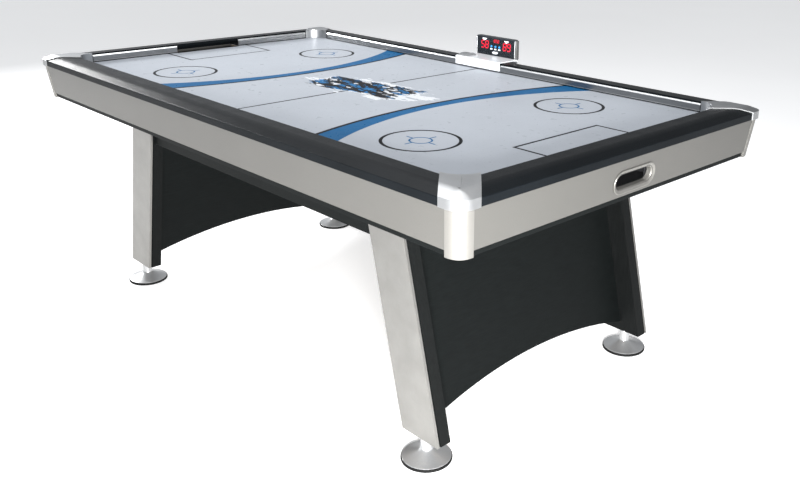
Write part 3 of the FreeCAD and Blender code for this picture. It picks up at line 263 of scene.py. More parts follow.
def paint_ice():
    """Glossy pale laminate with lines, bands, circles, a splash and air holes."""
    look, sizes = finish(), detail()
    paint = Paint("ice_laminate", {"Specular IOR Level": 0.02})
    x, y, z = paint.axes()
    along, across = abs(x), abs(y)
    line = sizes.line_width / 2
    blur = 0.0004
    circle_line, emblem_line, tick_line, edge_line = 0.0046, 0.0026, 0.0025, 0.0060
    emblem_radius, tick_place, tick_half = 0.029, 0.041, 0.013
    # Centres along the table and radii of the two arcs that bound each blue band.
    inner_centre, inner_radius = 1.922, 1.608
    outer_centre, outer_radius = 1.318, 0.961
    band_reach, edge_radius = 0.70, 1.6065
    crease_along, crease_across = 0.809, 0.168

    def distance(u, v):
        return (u * u + v * v) ** 0.5

    def tick(u, v):
        return abs(v).below(tick_line, blur) & abs(abs(u) - tick_place).below(tick_half, blur)

    u, v = along - sizes.circle_along, across - sizes.circle_across
    radial = distance(u, v)
    circle = abs(radial - sizes.circle_radius).below(circle_line, blur)
    emblem = abs(radial - emblem_radius).below(emblem_line, blur) | tick(u, v) | tick(v, u)

    inner = distance(along - inner_centre, y)
    outer = distance(along - outer_centre, y)
    reach = along.below(band_reach, blur)
    band = inner.below(inner_radius, blur) & (1 - outer.below(outer_radius, blur)) & reach
    band_edge = abs(inner - edge_radius).below(edge_line, blur) & reach

    crease_end = abs(along - crease_along).below(line, blur) & across.below(crease_across + line, blur)
    crease_side = abs(across - crease_across).below(line, blur) & (
        1 - along.below(crease_along - line, blur))
    middle = along.below(line, blur)
    ink = circle | band_edge | crease_end | crease_side | middle

    # The splash: ragged white spray, with fine shards of blue and ink over it.
    ragged = paint.noise(1.0, 5.0, 0.66, paint.stretched((11.0, 40.0, 1.0)))
    wide = distance((x - 0.020) / 0.290, (y - 0.008 - x * 0.06) / 0.120)
    spray = (wide + ragged.spread(0.3, 0.7, -0.34, 0.34)).below(0.82, 0.02)
    core = abs(x + 0.012) / 0.205 | abs(y - 0.006 - x * 0.12) / 0.088
    inside = (core + ragged.spread(0.3, 0.7, -0.24, 0.24)).below(0.90, 0.01)
    swirl = paint.add("ShaderNodeVectorMath", {"operation": "SCALE"}, {
        0: paint.noise(16.0, 4.0).out("Color"), "Scale": 2.6})
    place = paint.add("ShaderNodeVectorMath", {"operation": "ADD"}, {
        0: paint.stretched((24.0, 62.0, 1.0)), 1: swirl})
    shards = {"Vector": place, "Scale": 1.0}
    edges = paint.add("ShaderNodeTexVoronoi", {"feature": "DISTANCE_TO_EDGE"}, shards)
    cells = paint.add("ShaderNodeTexVoronoi", {}, shards, "Color")
    tone = paint.add("ShaderNodeSeparateColor", {}, {"Color": cells})
    blue_shard = (1 - tone.below(0.40, 0.01)) & inside
    wander = ragged.spread(0.3, 0.7, -0.020, 0.020)
    slash = abs(y - 0.026 + x * 0.20 - wander).below(0.010, 0.001)
    slash = slash | abs(y + 0.024 + x * 0.10 - wander).below(0.008, 0.001)
    slash = slash | abs(y - 0.066 - x * 0.24 + wander).below(0.005, 0.001)
    cracks = (edges.below(0.085, 0.02) | tone.below(0.15, 0.01) | slash) & inside

    hole_x = abs(x % sizes.hole_spacing - sizes.hole_spacing / 2)
    hole_y = abs(y % sizes.hole_spacing - sizes.hole_spacing / 2)
    holes = distance(hole_x, hole_y).below(sizes.hole_radius, 0.00012)
    holes = holes & along.below(0.985, 0.0001) & across.below(0.535, 0.0001)

    cloud = paint.noise(3.0, 4.0, 0.6).spread(0.3, 0.7)
    base = paint.mix(cloud, shade(look.ice, 0.96), shade(look.ice, 1.05))
    base = paint.mix(band, base, paint.mix(cloud, shade(look.ice_blue, 0.92), shade(look.ice_blue, 1.12)))
    base = paint.mix(ink, base, look.ink)
    base = paint.mix(emblem, base, look.ice_blue)
    base = paint.mix(spray, base, (0.72, 0.74, 0.77))
    base = paint.mix(blue_shard, base, paint.mix(tone.out("Green"), look.ice_blue, shade(look.ice_blue, 1.9)))
    base = paint.mix(cracks, base, look.ink)
    # Painted shade: each air hole is a dark dot, for the shade inside the hole.
    base = paint.mix(holes, base, (0.19, 0.20, 0.22))
    top = 1 - abs(z - SURFACE).below(0.0008, 0.0001)
    base = paint.mix(top, base, look.fibreboard)
    paint.drive("Base Color", base)
    paint.drive("Roughness", paint.noise(40.0, 3.0).spread(0.3, 0.7, 0.27, 0.35))
    paint.bump(paint.noise(260.0, 2.0) - holes * 4, 0.00006)
    return paint.material


def paint_rail():
    """Black vinyl wrap with a pebble grain and a soft sheen."""
    look = finish()
    paint = Paint("rail_wrap", {"Specular IOR Level": 0.055})
    grain = paint.add("ShaderNodeTexVoronoi", {"feature": "SMOOTH_F1"}, {
        "Vector": paint.point(), "Scale": 620.0, "Smoothness": 0.6})
    fine = paint.noise(1500.0, 2.0)
    patch = paint.noise(6.0, 3.0).spread(0.3, 0.7)
    paint.drive("Base Color", paint.mix(patch, shade(look.rail, 0.9), shade(look.rail, 1.25)))
    paint.drive("Roughness", paint.noise(24.0, 4.0).spread(0.3, 0.7, 0.29, 0.36))
    paint.bump(grain * 0.8 + fine * 0.35, 0.00022, 0.55)
    return paint.material


def paint_foil(name, rgb, metal, roughness, grain=(1.0, 1.0, 1.0)):
    """Silver foil: fine metallic flake, faint grain and slow changes of tone."""
    paint = Paint(name, {"Metallic": metal})
    flake = paint.noise(900.0, 1.0, 0.5, paint.stretched(grain))
    slow = paint.noise(5.0, 3.0)
    base = paint.mix(flake.spread(0.35, 0.65), shade(rgb, 0.90), shade(rgb, 1.10))
    paint.drive("Base Color", paint.mix(slow.spread(0.3, 0.7), base, shade(rgb, 0.95)))
    paint.drive("Roughness", flake.spread(0.3, 0.7, roughness - 0.05, roughness + 0.05))
    paint.bump(flake, 0.00003, 0.5)
    return paint.material


def paint_metal(name, rgb, roughness, grain=(40.0, 40.0, 2.0), depth=0.00002):
    """Bright metal with fine lines drawn along one axis."""
    paint = Paint(name, {"Metallic": 1.0})
    lines = paint.noise(60.0, 3.0, 0.6, paint.stretched(grain))
    haze = paint.noise(14.0, 4.0, 0.6)
    paint.drive("Base Color", paint.mix(haze.spread(0.3, 0.7), shade(rgb, 0.93), shade(rgb, 1.07)))
    paint.drive("Roughness", lines.spread(0.3, 0.7, roughness - 0.04, roughness + 0.06))
    paint.bump(lines, depth, 0.6)
    return paint.material


def paint_ribbed():
    """Drawn aluminium: a bright lip over a grooved band darkened with painted shade."""
    look = finish()
    lip_height = 0.0215
    paint = Paint("ribbed_aluminium", {"Metallic": 1.0})
    band = paint.axes()[2].below(SURFACE + lip_height, 0.0004)
    drawn = paint.noise(30.0, 3.0, 0.6, paint.stretched((2.0, 2.0, 60.0)))
    lip = paint.mix(drawn.spread(0.3, 0.7), look.bright_metal, shade(look.bright_metal, 1.3))
    # Painted shade: under the lip the metal is darkened to 0.42 on the grooved band.
    paint.drive("Base Color", paint.mix(band, lip, shade(look.bright_metal, 0.42)))
    paint.drive("Roughness", drawn.spread(0.3, 0.7, 0.26, 0.36))
    return paint.material


def paint_board(name, rgb, roughness=0.42, grain=(3.0, 60.0, 60.0)):
    """Dark foil on board: a faint wood-like grain in tone and relief."""
    paint = Paint(name, {"Specular IOR Level": 0.05})
    fibre = paint.noise(8.0, 5.0, 0.65, paint.stretched(grain))
    fine = paint.noise(700.0, 2.0)
    paint.drive("Base Color", paint.mix(fibre.spread(0.3, 0.7), shade(rgb, 0.75), shade(rgb, 1.45)))
    paint.drive("Roughness", fibre.spread(0.3, 0.7, roughness - 0.06, roughness + 0.08))
    paint.bump(fibre + fine * 0.4, 0.00008, 0.5)
    return paint.material


def paint_fibreboard():
    """Bare fibreboard: matt, with short dark fibres."""
    rgb = finish().fibreboard
    paint = Paint("bare_fibreboard", {})
    fibre = paint.noise(320.0, 4.0, 0.7, paint.stretched((1.0, 2.2, 1.6)))
    slow = paint.noise(7.0, 3.0).spread(0.3, 0.7)
    base = paint.mix(fibre.spread(0.35, 0.65), shade(rgb, 0.72), shade(rgb, 1.15))
    paint.drive("Base Color", paint.mix(slow, base, shade(rgb, 0.9)))
    paint.drive("Roughness", fibre.spread(0.3, 0.7, 0.72, 0.9))
    paint.bump(fibre, 0.00015, 0.6)
    return paint.material


def paint_plastic(name, rgb, roughness=0.45, texture=900.0, depth=0.00005, sockets=None):
    """Moulded plastic with spark-eroded texture."""
    paint = Paint(name, sockets or {})
    spark = paint.noise(texture, 2.0, 0.6)
    slow = paint.noise(18.0, 3.0).spread(0.3, 0.7)
    paint.drive("Base Color", paint.mix(slow, shade(rgb, 0.9), shade(rgb, 1.12)))
    paint.drive("Roughness", spark.spread(0.3, 0.7, roughness - 0.05, roughness + 0.07))
    paint.bump(spark, depth, 0.5)
    return paint.material


def paint_rubber():
    """Black rubber with fine dust in its texture."""
    rgb = finish().rubber
    paint = Paint("rubber", {"Specular IOR Level": 0.12})
    dust = paint.noise(90.0, 5.0, 0.7)
    paint.drive("Base Color", paint.mix(dust.spread(0.45, 0.8), rgb, shade(rgb, 2.6)))
    paint.drive("Roughness", dust.spread(0.3, 0.7, 0.55, 0.75))
    paint.bump(paint.noise(700.0, 3.0), 0.0001, 0.6)
    return paint.material


def paint_glow():
    """Lit display segments, their glow varying a little with fine noise."""
    rgb = finish().glow
    paint = Paint("lit_segment", {"Roughness": 0.3, "Emission Strength": 2.2})
    cell = paint.noise(400.0, 2.0).spread(0.3, 0.7, 0.8, 1.15)
    paint.drive("Base Color", paint.mix(cell, shade(rgb, 0.5), shade(rgb, 0.7)))
    paint.drive("Emission Color", paint.mix(cell, shade(rgb, 0.85), rgb))
    return paint.material


def paint_window():
    """Tinted acrylic that the displays shine through."""
    paint = Paint("tinted_window", {"Specular IOR Level": 0.3, "Alpha": 0.40})
    smear = paint.noise(30.0, 4.0, 0.6)
    paint.drive("Base Color", paint.mix(smear.spread(0.3, 0.7), (0.018, 0.022, 0.028), (0.030, 0.036, 0.044)))
    paint.drive("Roughness", smear.spread(0.3, 0.7, 0.05, 0.12))
    return paint.material


_made = {}


def painted(name):
    """Each finish is made once and shared."""
    look = finish()
    makers = {
        "ice": paint_ice,
        "rail": paint_rail,
        "ribbed": paint_ribbed,
        "apron": lambda: paint_foil("silver_foil", look.silver_foil, 0.55, 0.40),
        "cap": lambda: paint_metal("satin_cap", shade(look.bright_metal, 0.62), 0.34,
                                   (6.0, 6.0, 6.0), 0.00001),
        "post": lambda: paint_foil("satin_post", (0.185, 0.180, 0.167), 0.6, 0.46),
        "leg_face": lambda: paint_metal("brushed_leg_face", (0.28, 0.275, 0.262), 0.44, (55.0, 55.0, 1.2)),
        "leg": lambda: paint_board("leg_board", look.leg_dark, 0.40, (50.0, 50.0, 3.0)),
        "panel": lambda: paint_board("black_board", look.black_board, 0.46, (50.0, 3.0, 50.0)),
        "trim": lambda: paint_board("black_trim", look.black_board, 0.40),
        "fibreboard": paint_fibreboard,
        "foot": lambda: paint_foil("satin_foot", (0.46, 0.465, 0.47), 0.75, 0.34),
        "rubber": paint_rubber,
        "goal": lambda: paint_plastic("goal_moulding", (0.010, 0.010, 0.011), 0.5),
        "bezel": lambda: paint_foil("satin_bezel", shade(look.silver_foil, 1.6), 0.6, 0.36),
        "shell": lambda: paint_plastic("scorer_shell", look.scorer, 0.38),
        # The saddle's light grey skin is lightened to near white: a painted glare highlight.
        "saddle": lambda: paint_foil("saddle_skin", (0.80, 0.82, 0.84), 0.10, 0.20),
        # The roll on the saddle's left part is dark grey: a painted dark reflection on the silver saddle.
        "grip": lambda: paint_plastic("saddle_grip", (0.16, 0.165, 0.17), 0.40, 600.0, 0.0001),
        "window": paint_window,
        "end_cap": lambda: paint_plastic("scorer_end_cap", (0.07, 0.07, 0.068), 0.34),
        "circuit": lambda: paint_plastic("circuit_laminate", (0.01, 0.09, 0.035), 0.4),
        "display": lambda: paint_plastic("display_block", (0.012, 0.010, 0.010), 0.25),
        "glow": paint_glow,
        "print": lambda: paint_plastic("printed_mark", (0.75, 0.78, 0.82), 0.45),
        "button": lambda: paint_plastic("button_blue", look.button, 0.22, 1200.0, 0.00002,
                                        {"Coat Weight": 0.6}),
        "drum": lambda: paint_plastic("blower_moulding", (0.014, 0.014, 0.015), 0.5, 700.0, 0.0001),
        "motor": lambda: paint_metal("motor_can", (0.35, 0.35, 0.36), 0.35, (60.0, 60.0, 60.0)),
        "steel": lambda: paint_metal("zinc_steel", (0.50, 0.51, 0.52), 0.34, (30.0, 30.0, 30.0)),
        "box": lambda: paint_plastic("switch_moulding", (0.015, 0.015, 0.016), 0.45),
        "rocker": lambda: paint_plastic("rocker_red", (0.45, 0.012, 0.010), 0.3),
    }
    if name not in _made:
        _made[name] = makers[name]()
    return _made[name]


# ------------------------------------------------------------ modelling tools

def pick(*objects):
    """Select only these, the last one active."""
    bpy.ops.object.select_all(action="DESELECT")
    for item in objects:
        item.select_set(True)
    bpy.context.view_layer.objects.active = objects[-1]


def modify(piece, kind, **settings):
    """Add a modifier, set it and apply it."""
    pick(piece)
    modifier = piece.modifiers.new(kind.title(), kind)
    for name, value in settings.items():
        setattr(modifier, name, value)
    bpy.ops.object.modifier_apply(modifier=modifier.name)


def choose(piece, kind, test):
    """Enter edit mode with only the vertices, edges or polygons that pass selected."""
    pick(piece)
    bpy.ops.object.mode_set(mode="EDIT")
    bpy.ops.mesh.select_all(action="DESELECT")
    bpy.ops.object.mode_set(mode="OBJECT")
    for item in getattr(piece.data, kind):
        item.select = test(item)
    bpy.ops.object.mode_set(mode="EDIT")


def bevel(piece, width, segments=2, angle=30):
    modify(piece, "BEVEL", width=width, segments=segments, limit_method="ANGLE",
           angle_limit=math.radians(angle), profile=0.6)


def round_creases(piece, width, segments=6):
    """Round only the shallow creases, such as a rail's between its top and shoulder."""
    least, most = 14.0, 30.0
    sides = {}
    for face in piece.data.polygons:
        for key in face.edge_keys:
            sides.setdefault(key, []).append(face.normal.copy())

    def shallow(edge):
        normals = sides[edge.key]
        return len(normals) == 2 and least < math.degrees(normals[0].angle(normals[1])) < most

    choose(piece, "edges", shallow)
    bpy.ops.mesh.bevel(offset=width, segments=segments)
    bpy.ops.object.mode_set(mode="OBJECT")


def settle(piece, name, finish_name, body, smooth=35):
    """Name a finished piece, put its place in its mesh, and let it ride on its body."""
    piece.name = name
    piece.data.name = name
    pick(piece)
    bpy.ops.object.transform_apply(location=True, rotation=True, scale=True)
    bpy.ops.object.shade_smooth_by_angle(angle=math.radians(smooth))
    modify(piece, "WEIGHTED_NORMAL", keep_sharp=True)
    piece.data.materials.clear()
    piece.data.materials.append(painted(finish_name))
    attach(piece, body)
    return piece


def merged_copy(node):
    """A copy of a CAD node as one clean mesh."""
    pick(frame["nodes"][node])
    bpy.ops.object.duplicate()
    piece = bpy.context.view_layer.objects.active
    bpy.ops.object.parent_clear(type="CLEAR_KEEP_TRANSFORM")
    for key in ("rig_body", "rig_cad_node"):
        del piece[key]
    bpy.ops.mesh.customdata_custom_splitnormals_clear()
    bpy.ops.object.mode_set(mode="EDIT")
    bpy.ops.mesh.select_all(action="SELECT")
    bpy.ops.mesh.remove_doubles(threshold=2e-6)
    bpy.ops.mesh.dissolve_limited(angle_limit=math.radians(0.4))
    bpy.ops.object.mode_set(mode="OBJECT")
    return piece


def stand_for(node, piece, finish_name):
    """Finish a reshaped copy of a CAD node and let it stand for the node."""
    settle(piece, node + "_look", finish_name, frame["nodes"][node]["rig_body"])
    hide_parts(node)
    return piece


def softened(node, finish_name, width, segments=2, angle=30):
    """A copy of a CAD node with its sharp edges rounded, which stands for it."""
    piece = merged_copy(node)
    bevel(piece, width, segments, angle)
    return stand_for(node, piece, finish_name)


def turned(profile, vertices=64, centre=(0.0, 0.0, 0.0)):
    """A piece turned about +Z: a circle extruded and resized ring by ring."""
    radius, height = profile[0]
    x, y, z = centre
    bpy.ops.object.select_all(action="DESELECT")
    bpy.ops.mesh.primitive_circle_add(vertices=vertices, radius=radius, fill_type="NGON",
                                      location=(x, y, z + height),
                                      rotation=(0.0, 0.0, math.pi / vertices))
    piece = bpy.context.view_layer.objects.active
    bpy.ops.object.transform_apply(location=False, rotation=True, scale=True)
    bpy.ops.object.mode_set(mode="EDIT")
    bpy.ops.mesh.select_all(action="SELECT")
    for (r0, z0), (r1, z1) in zip(profile, profile[1:]):
        bpy.ops.mesh.extrude_region_move(TRANSFORM_OT_translate={"value": (0.0, 0.0, z1 - z0)})
        bpy.ops.transform.resize(value=(r1 / r0, r1 / r0, 1.0),
                                 center_override=(x, y, z + z1))
    bpy.ops.mesh.select_all(action="SELECT")
    bpy.ops.mesh.normals_make_consistent(inside=False)
    bpy.ops.object.mode_set(mode="OBJECT")
    return piece


def shift_part(piece, chosen, move):
    """Move the vertices that the test picks."""
    choose(piece, "vertices", lambda vertex: chosen(vertex.co))
    bpy.ops.transform.translate(value=move)
    bpy.ops.object.mode_set(mode="OBJECT")


def turn_part(piece, angle, axis, centre=(0.0, 0.0, 0.0)):
    """Turn the whole mesh about a point."""
    spin = Matrix.Translation(centre) @ Matrix.Rotation(angle, 4, axis) @ Matrix.Translation(-Vector(centre))
    piece.matrix_world = spin @ piece.matrix_world
    pick(piece)
    bpy.ops.object.transform_apply(location=True, rotation=True, scale=True)


def slab(low, high):
    """A block between two corners, ready to be shaped."""
    low, high = Vector(low), Vector(high)
    bpy.ops.object.select_all(action="DESELECT")
    bpy.ops.mesh.primitive_cube_add(size=1.0, location=(low + high) / 2, scale=high - low)
    piece = bpy.context.view_layer.objects.active
    bpy.ops.object.transform_apply(location=True, rotation=True, scale=True)
    return piece


def joined(pieces):
    pick(*pieces)
    bpy.ops.object.join()
    return bpy.context.view_layer.objects.active


# -------------------------------------------------------------------- pieces

class AIRTABLE_OT_playfield(bpy.types.Operator):
    """Print and gloss the playing surface"""

    bl_idname = "air_table.playfield"
    bl_label = "Playing surface"

    def execute(self, context):
        softened("playfield_board", "ice", 0.0004, 1)
        return {"FINISHED"}


class AIRTABLE_OT_rails(bpy.types.Operator):
    """Wrap the four rails and fit their metal bumper strips"""

    bl_idname = "air_table.rails"
    bl_label = "Rails and bumpers"

    def execute(self, context):
        for name in ("side_rail_front", "side_rail_back", "end_rail_left", "end_rail_right"):
            piece = merged_copy(name)
            round_creases(piece, 0.013, 8)
            bevel(piece, 0.0016, 3)
            stand_for(name, piece, "rail")
        for name in ("side_bumper_front", "side_bumper_back", "end_bumpers_left", "end_bumpers_right"):
            self.strip(name)
        return {"FINISHED"}

    def strip(self, node):
        """A bumper strip with grooves pressed in along its face."""
        sizes = detail()
        piece = merged_copy(node)
        low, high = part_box(node)
        axis = 1 if node.startswith("side") else 0
        back = 1.0 if low[axis] > 0 else -1.0
        face = low[axis] if back > 0 else high[axis]
        first, wide, count = 0.0018, 0.0016, 5
        bottoms = [low.z + first + sizes.rib_spacing * i for i in range(count)]
        grooves = [(bottom, bottom + wide) for bottom in bottoms]
        pick(piece)
        bpy.ops.object.mode_set(mode="EDIT")
        for height in (height for groove in grooves for height in groove):
            bpy.ops.mesh.select_all(action="SELECT")
            bpy.ops.mesh.bisect(plane_co=(0.0, 0.0, height), plane_no=(0.0, 0.0, 1.0))
        bpy.ops.object.mode_set(mode="OBJECT")
        choose(piece, "polygons", lambda part: abs(part.center[axis] - face) < 1e-5 and any(
            bottom < part.center.z < top for bottom, top in grooves))
        push = [0.0, 0.0, 0.0]
        push[axis] = back * sizes.rib_depth
        bpy.ops.mesh.extrude_region_move(TRANSFORM_OT_translate={"value": push})
        bpy.ops.object.mode_set(mode="OBJECT")
        bevel(piece, 0.0002, 1)
        stand_for(node, piece, "ribbed")


class AIRTABLE_OT_corners(bpy.types.Operator):
    """Corner caps and posts"""

    bl_idname = "air_table.corners"
    bl_label = "Corner caps and posts"

    def execute(self, context):
        for corner in CORNERS:
            piece = merged_copy("corner_cap_" + corner)
            round_creases(piece, 0.011, 6)
            bevel(piece, 0.0011, 3)
            stand_for("corner_cap_" + corner, piece, "cap")
        softened("corner_posts", "post", 0.0009, 2)
        return {"FINISHED"}


class AIRTABLE_OT_cabinet(bpy.types.Operator):
    """Aprons, base trim and the boards of the air box"""

    bl_idname = "air_table.cabinet"
    bl_label = "Cabinet"

    def execute(self, context):
        edge = detail().board_edge
        for name in ("side_apron_front", "side_apron_back", "end_apron_left", "end_apron_right"):
            softened(name, "apron", edge)
        softened("base_trims", "trim", edge)
        for name in ("plenum_floor", "plenum_side_boards", "plenum_end_boards", "plenum_ribs"):
            softened(name, "fibreboard", 0.0003, 1)
        return {"FINISHED"}


class AIRTABLE_OT_goals(bpy.types.Operator):
    """Goal boxes, beam sensors and the dished bezels of the puck returns"""

    bl_idname = "air_table.goals"
    bl_label = "Goals and puck returns"

    def execute(self, context):
        softened("goal_box_left", "goal", 0.0006)
        softened("goal_box_right", "goal", 0.0006)
        softened("goal_sensors", "goal", 0.0010)
        for side in (1, -1):
            self.bezel("right" if side > 0 else "left", side)
        return {"FINISHED"}

    def bezel(self, name, side):
        """A rim that dishes in to a sleeve, drawn round and then pulled to a stadium."""
        node = "return_bezel_" + name
        low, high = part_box(node)
        half_run = 0.054
        lean = math.radians(6.5)
        profile = [(0.0212, -0.0155), (0.0230, -0.0160), (0.0230, -0.0002), (0.0300, -0.0002),
                   (0.0312, 0.0006), (0.0314, 0.0018), (0.0308, 0.0028), (0.0296, 0.0030),
                   (0.0284, 0.0026), (0.0262, 0.0012), (0.0238, 0.0002), (0.0212, -0.0012),
                   (0.0198, -0.0030), (0.0194, -0.0060), (0.0194, -0.0155), (0.0212, -0.0155)]
        piece = turned(profile, 72)
        choose(piece, "polygons", lambda part: len(part.vertices) > 4)
        bpy.ops.mesh.delete(type="ONLY_FACE")
        bpy.ops.mesh.select_all(action="SELECT")
        bpy.ops.mesh.remove_doubles(threshold=1e-6)
        bpy.ops.mesh.normals_make_consistent(inside=False)
        bpy.ops.object.mode_set(mode="OBJECT")
        shift_part(piece, lambda co: co.x > 0, (half_run, 0.0, 0.0))
        shift_part(piece, lambda co: co.x < 0, (-half_run, 0.0, 0.0))
        turn_part(piece, math.radians(90.0), "Z")
        turn_part(piece, math.radians(90.0) + lean, "Y")
        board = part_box("end_apron_right")[1]
        height = (low.z + high.z) / 2
        face = board.x - math.tan(lean) * (board.z - height)
        piece.matrix_world = Matrix.Translation((face, 0.0, height)) @ piece.matrix_world
        pick(piece)
        bpy.ops.object.transform_apply(location=True, rotation=True, scale=True)
        if side < 0:
            turn_part(piece, math.pi, "Z")
        settle(piece, node + "_look", "bezel", "table", 40)
        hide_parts(node)


class AIRTABLE_OT_legs(bpy.types.Operator):
    """Legs, face plates, end panels, beams and their fixings"""

    bl_idname = "air_table.legs"
    bl_label = "Legs"

    def execute(self, context):
        edge = detail().board_edge
        for corner in CORNERS:
            softened("leg_" + corner, "leg", edge)
        softened("leg_face_plates", "leg_face", detail().metal_edge)
        softened("end_panels", "panel", edge)
        softened("long_beams", "panel", edge)
        softened("leg_plates", "steel", 0.0005)
        softened("leg_bolts", "steel", 0.0005)
        return {"FINISHED"}


class AIRTABLE_OT_feet(bpy.types.Operator):
    """Turned levelling feet in rubber rings"""

    bl_idname = "air_table.feet"
    bl_label = "Levelling feet"

    def execute(self, context):
        metal = [(0.0600, 0.0022), (0.0600, 0.0081), (0.0642, 0.0081), (0.0650, 0.0086),
                 (0.0650, 0.0096), (0.0640, 0.0103), (0.0600, 0.0112), (0.0480, 0.0150),
                 (0.0340, 0.0205), (0.0230, 0.0258), (0.0178, 0.0290), (0.0162, 0.0312),
                 (0.0158, 0.0345), (0.0154, 0.0600), (0.0150, 0.0628), (0.0140, 0.0640),
                 (0.0062, 0.0640)]
        thread = [(0.0050 - 0.0004 * (i % 2), 0.0640 + 0.00075 * i) for i in range(58)]
        rubber = [(0.0604, 0.0008), (0.0612, 0.0001), (0.0664, 0.0001), (0.0672, 0.0008),
                  (0.0675, 0.0020), (0.0674, 0.0060), (0.0668, 0.0074), (0.0655, 0.0080),
                  (0.0610, 0.0080), (0.0602, 0.0072), (0.0601, 0.0040)]
        for corner in CORNERS:
            low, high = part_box("foot_" + corner)
            centre = ((low.x + high.x) / 2, (low.y + high.y) / 2, 0.0)
            disc = turned(metal, 96, centre)
            stud = turned(thread, 24, centre)
            settle(disc, "foot_" + corner + "_look", "foot", "foot_" + corner)
            settle(stud, "foot_stud_" + corner, "steel", "foot_" + corner, 20)
            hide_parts("foot_" + corner)
            ring = turned(rubber, 96, centre)
            settle(ring, "foot_ring_" + corner + "_look", "rubber", "foot_" + corner)
            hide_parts("foot_ring_" + corner)
        return {"FINISHED"}


# The lit segments of each figure.
SEGMENTS = {
    "0": "abcdef", "1": "bc", "2": "abged", "3": "abgcd", "4": "fgbc", "5": "afgcd",
    "6": "afgecd", "7": "abc", "8": "abcdefg", "9": "abfgcd",
}


class AIRTABLE_OT_scorer(bpy.types.Operator):
    """The scorer: shell, window, lit displays, buttons, marks and saddle"""

    bl_idname = "air_table.scorer"
    bl_label = "Scorer"

    def execute(self, context):
        self.low, self.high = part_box("scorer_housing")
        softened("scorer_housing", "shell", 0.0007, 2)
        softened("scorer_back_cover", "shell", 0.0006)
        softened("scorer_window", "window", 0.0002, 1)
        softened("scorer_saddle", "saddle", 0.0012, 3)
        softened("scorer_circuit_board", "circuit", 0.0002, 1)
        softened("scorer_displays", "display", 0.0004)
        softened("scorer_screws", "steel", 0.0003)
        for name in ("left", "middle", "right"):
            self.button(name)
        for name, text, middle in (("score_left", "58", -0.055), ("score_right", "89", 0.055)):
            self.digits(name, text, middle, self.high.z - 0.031, 0.0255)
        self.digits("timer", "1058", 0.0, self.high.z - 0.015, 0.0105)
        self.marks()
        self.ends()
        self.grip()
        return {"FINISHED"}

    def button(self, name):
        """A domed cap in place of the plain button."""
        node = "scorer_button_" + name
        low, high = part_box(node)
        middle = ((low.x + high.x) / 2, 0.0, (low.z + high.z) / 2)
        depth = high.y - low.y
        profile = [(0.0055, 0.0), (0.0055, 0.0010), (0.0040, 0.0010), (0.0040, depth - 0.0010),
                   (0.0036, depth - 0.0004), (0.0028, depth - 0.0001), (0.0012, depth)]
        piece = turned(profile, 40)
        turn_part(piece, math.radians(90.0), "X")
        piece.matrix_world = Matrix.Translation((middle[0], high.y, middle[2])) @ piece.matrix_world
        settle(piece, node + "_look", "button", "button_" + name)
        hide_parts(node)

    def segment(self, long, width, where, upright):
        """One long six-sided bar of a display digit."""
        bpy.ops.object.select_all(action="DESELECT")
        bpy.ops.mesh.primitive_circle_add(vertices=6, radius=width / 2, fill_type="NGON",
                                          rotation=(math.radians(90.0), 0.0, 0.0))
        bar = bpy.context.view_layer.objects.active
        bpy.ops.object.transform_apply(location=True, rotation=True, scale=True)
        if not upright:
            turn_part(bar, math.radians(30.0), "Y")
        run = (long - width) / 2
        step = (0.0, 0.0, run) if upright else (run, 0.0, 0.0)
        shift_part(bar, lambda co: co.dot(Vector(step)) > 1e-9, step)
        shift_part(bar, lambda co: co.dot(Vector(step)) < -1e-9, tuple(-s for s in step))
        bpy.ops.object.mode_set(mode="EDIT")
        bpy.ops.mesh.select_all(action="SELECT")
        bpy.ops.mesh.extrude_region_move(TRANSFORM_OT_translate={"value": (0.0, 0.0004, 0.0)})
        bpy.ops.mesh.select_all(action="SELECT")
        bpy.ops.mesh.normals_make_consistent(inside=False)
        bpy.ops.object.mode_set(mode="OBJECT")
        bar.location = where
        return bar

    def digits(self, name, text, middle, height, tall):
        """Lit segments just behind the window."""
        wide, stroke, slant = tall * 0.56, tall * 0.19, 0.10
        pitch = wide * 1.42
        depth = self.low.y + 0.00052
        bars = []
        for index, figure in enumerate(text):
            x = middle + (index - (len(text) - 1) / 2) * pitch
            arm, post = wide / 2, tall / 4
            places = {
                "a": (0.0, 2 * post, False), "g": (0.0, 0.0, False), "d": (0.0, -2 * post, False),
                "f": (-arm, post, True), "b": (arm, post, True),
                "e": (-arm, -post, True), "c": (arm, -post, True),
            }
            for part in SEGMENTS[figure]:
                along, up, upright = places[part]
                long = (2 * post if upright else wide) - stroke * 0.25
                where = (x + along + up * slant, depth, height + up)
                bars.append(self.segment(long, stroke, where, upright))
        piece = joined(bars)
        settle(piece, "lit_" + name, "glow", "table")

    def marks(self):
        """Rounded marks on the window: by the buttons, under them and over each score."""
        front = self.low.y - 0.00012
        # Place across the scorer, drop from its top, half width and half height.
        blocks = [(x, 0.0445, 0.0052, 0.0022) for x in (-0.020, 0.0, 0.020)]
        blocks += [(0.0, 0.0570, 0.0120, 0.0040), (0.0, 0.0605, 0.0070, 0.0012)]
        for x in (-0.055, 0.055):
            blocks += [(x, 0.0100, 0.0100, 0.0022), (x, 0.0135, 0.0036, 0.0030)]
        piece = joined([self.plaque(x, self.high.z - drop, half_wide, half_tall, front)
                        for x, drop, half_wide, half_tall in blocks])
        settle(piece, "printed_marks", "print", "table")

    def plaque(self, x, z, half_wide, half_tall, front):
        """A thin rounded mark."""
        piece = slab((x - half_wide, front, z - half_tall), (x + half_wide, front + 0.00011, z + half_tall))

        def runs_through(edge):
            ends = [piece.data.vertices[i].co for i in edge.vertices]
            return abs(ends[0].y - ends[1].y) > 1e-6

        choose(piece, "edges", runs_through)
        bpy.ops.mesh.bevel(offset=min(half_wide, half_tall) * 0.9, segments=4)
        bpy.ops.object.mode_set(mode="OBJECT")
        return piece

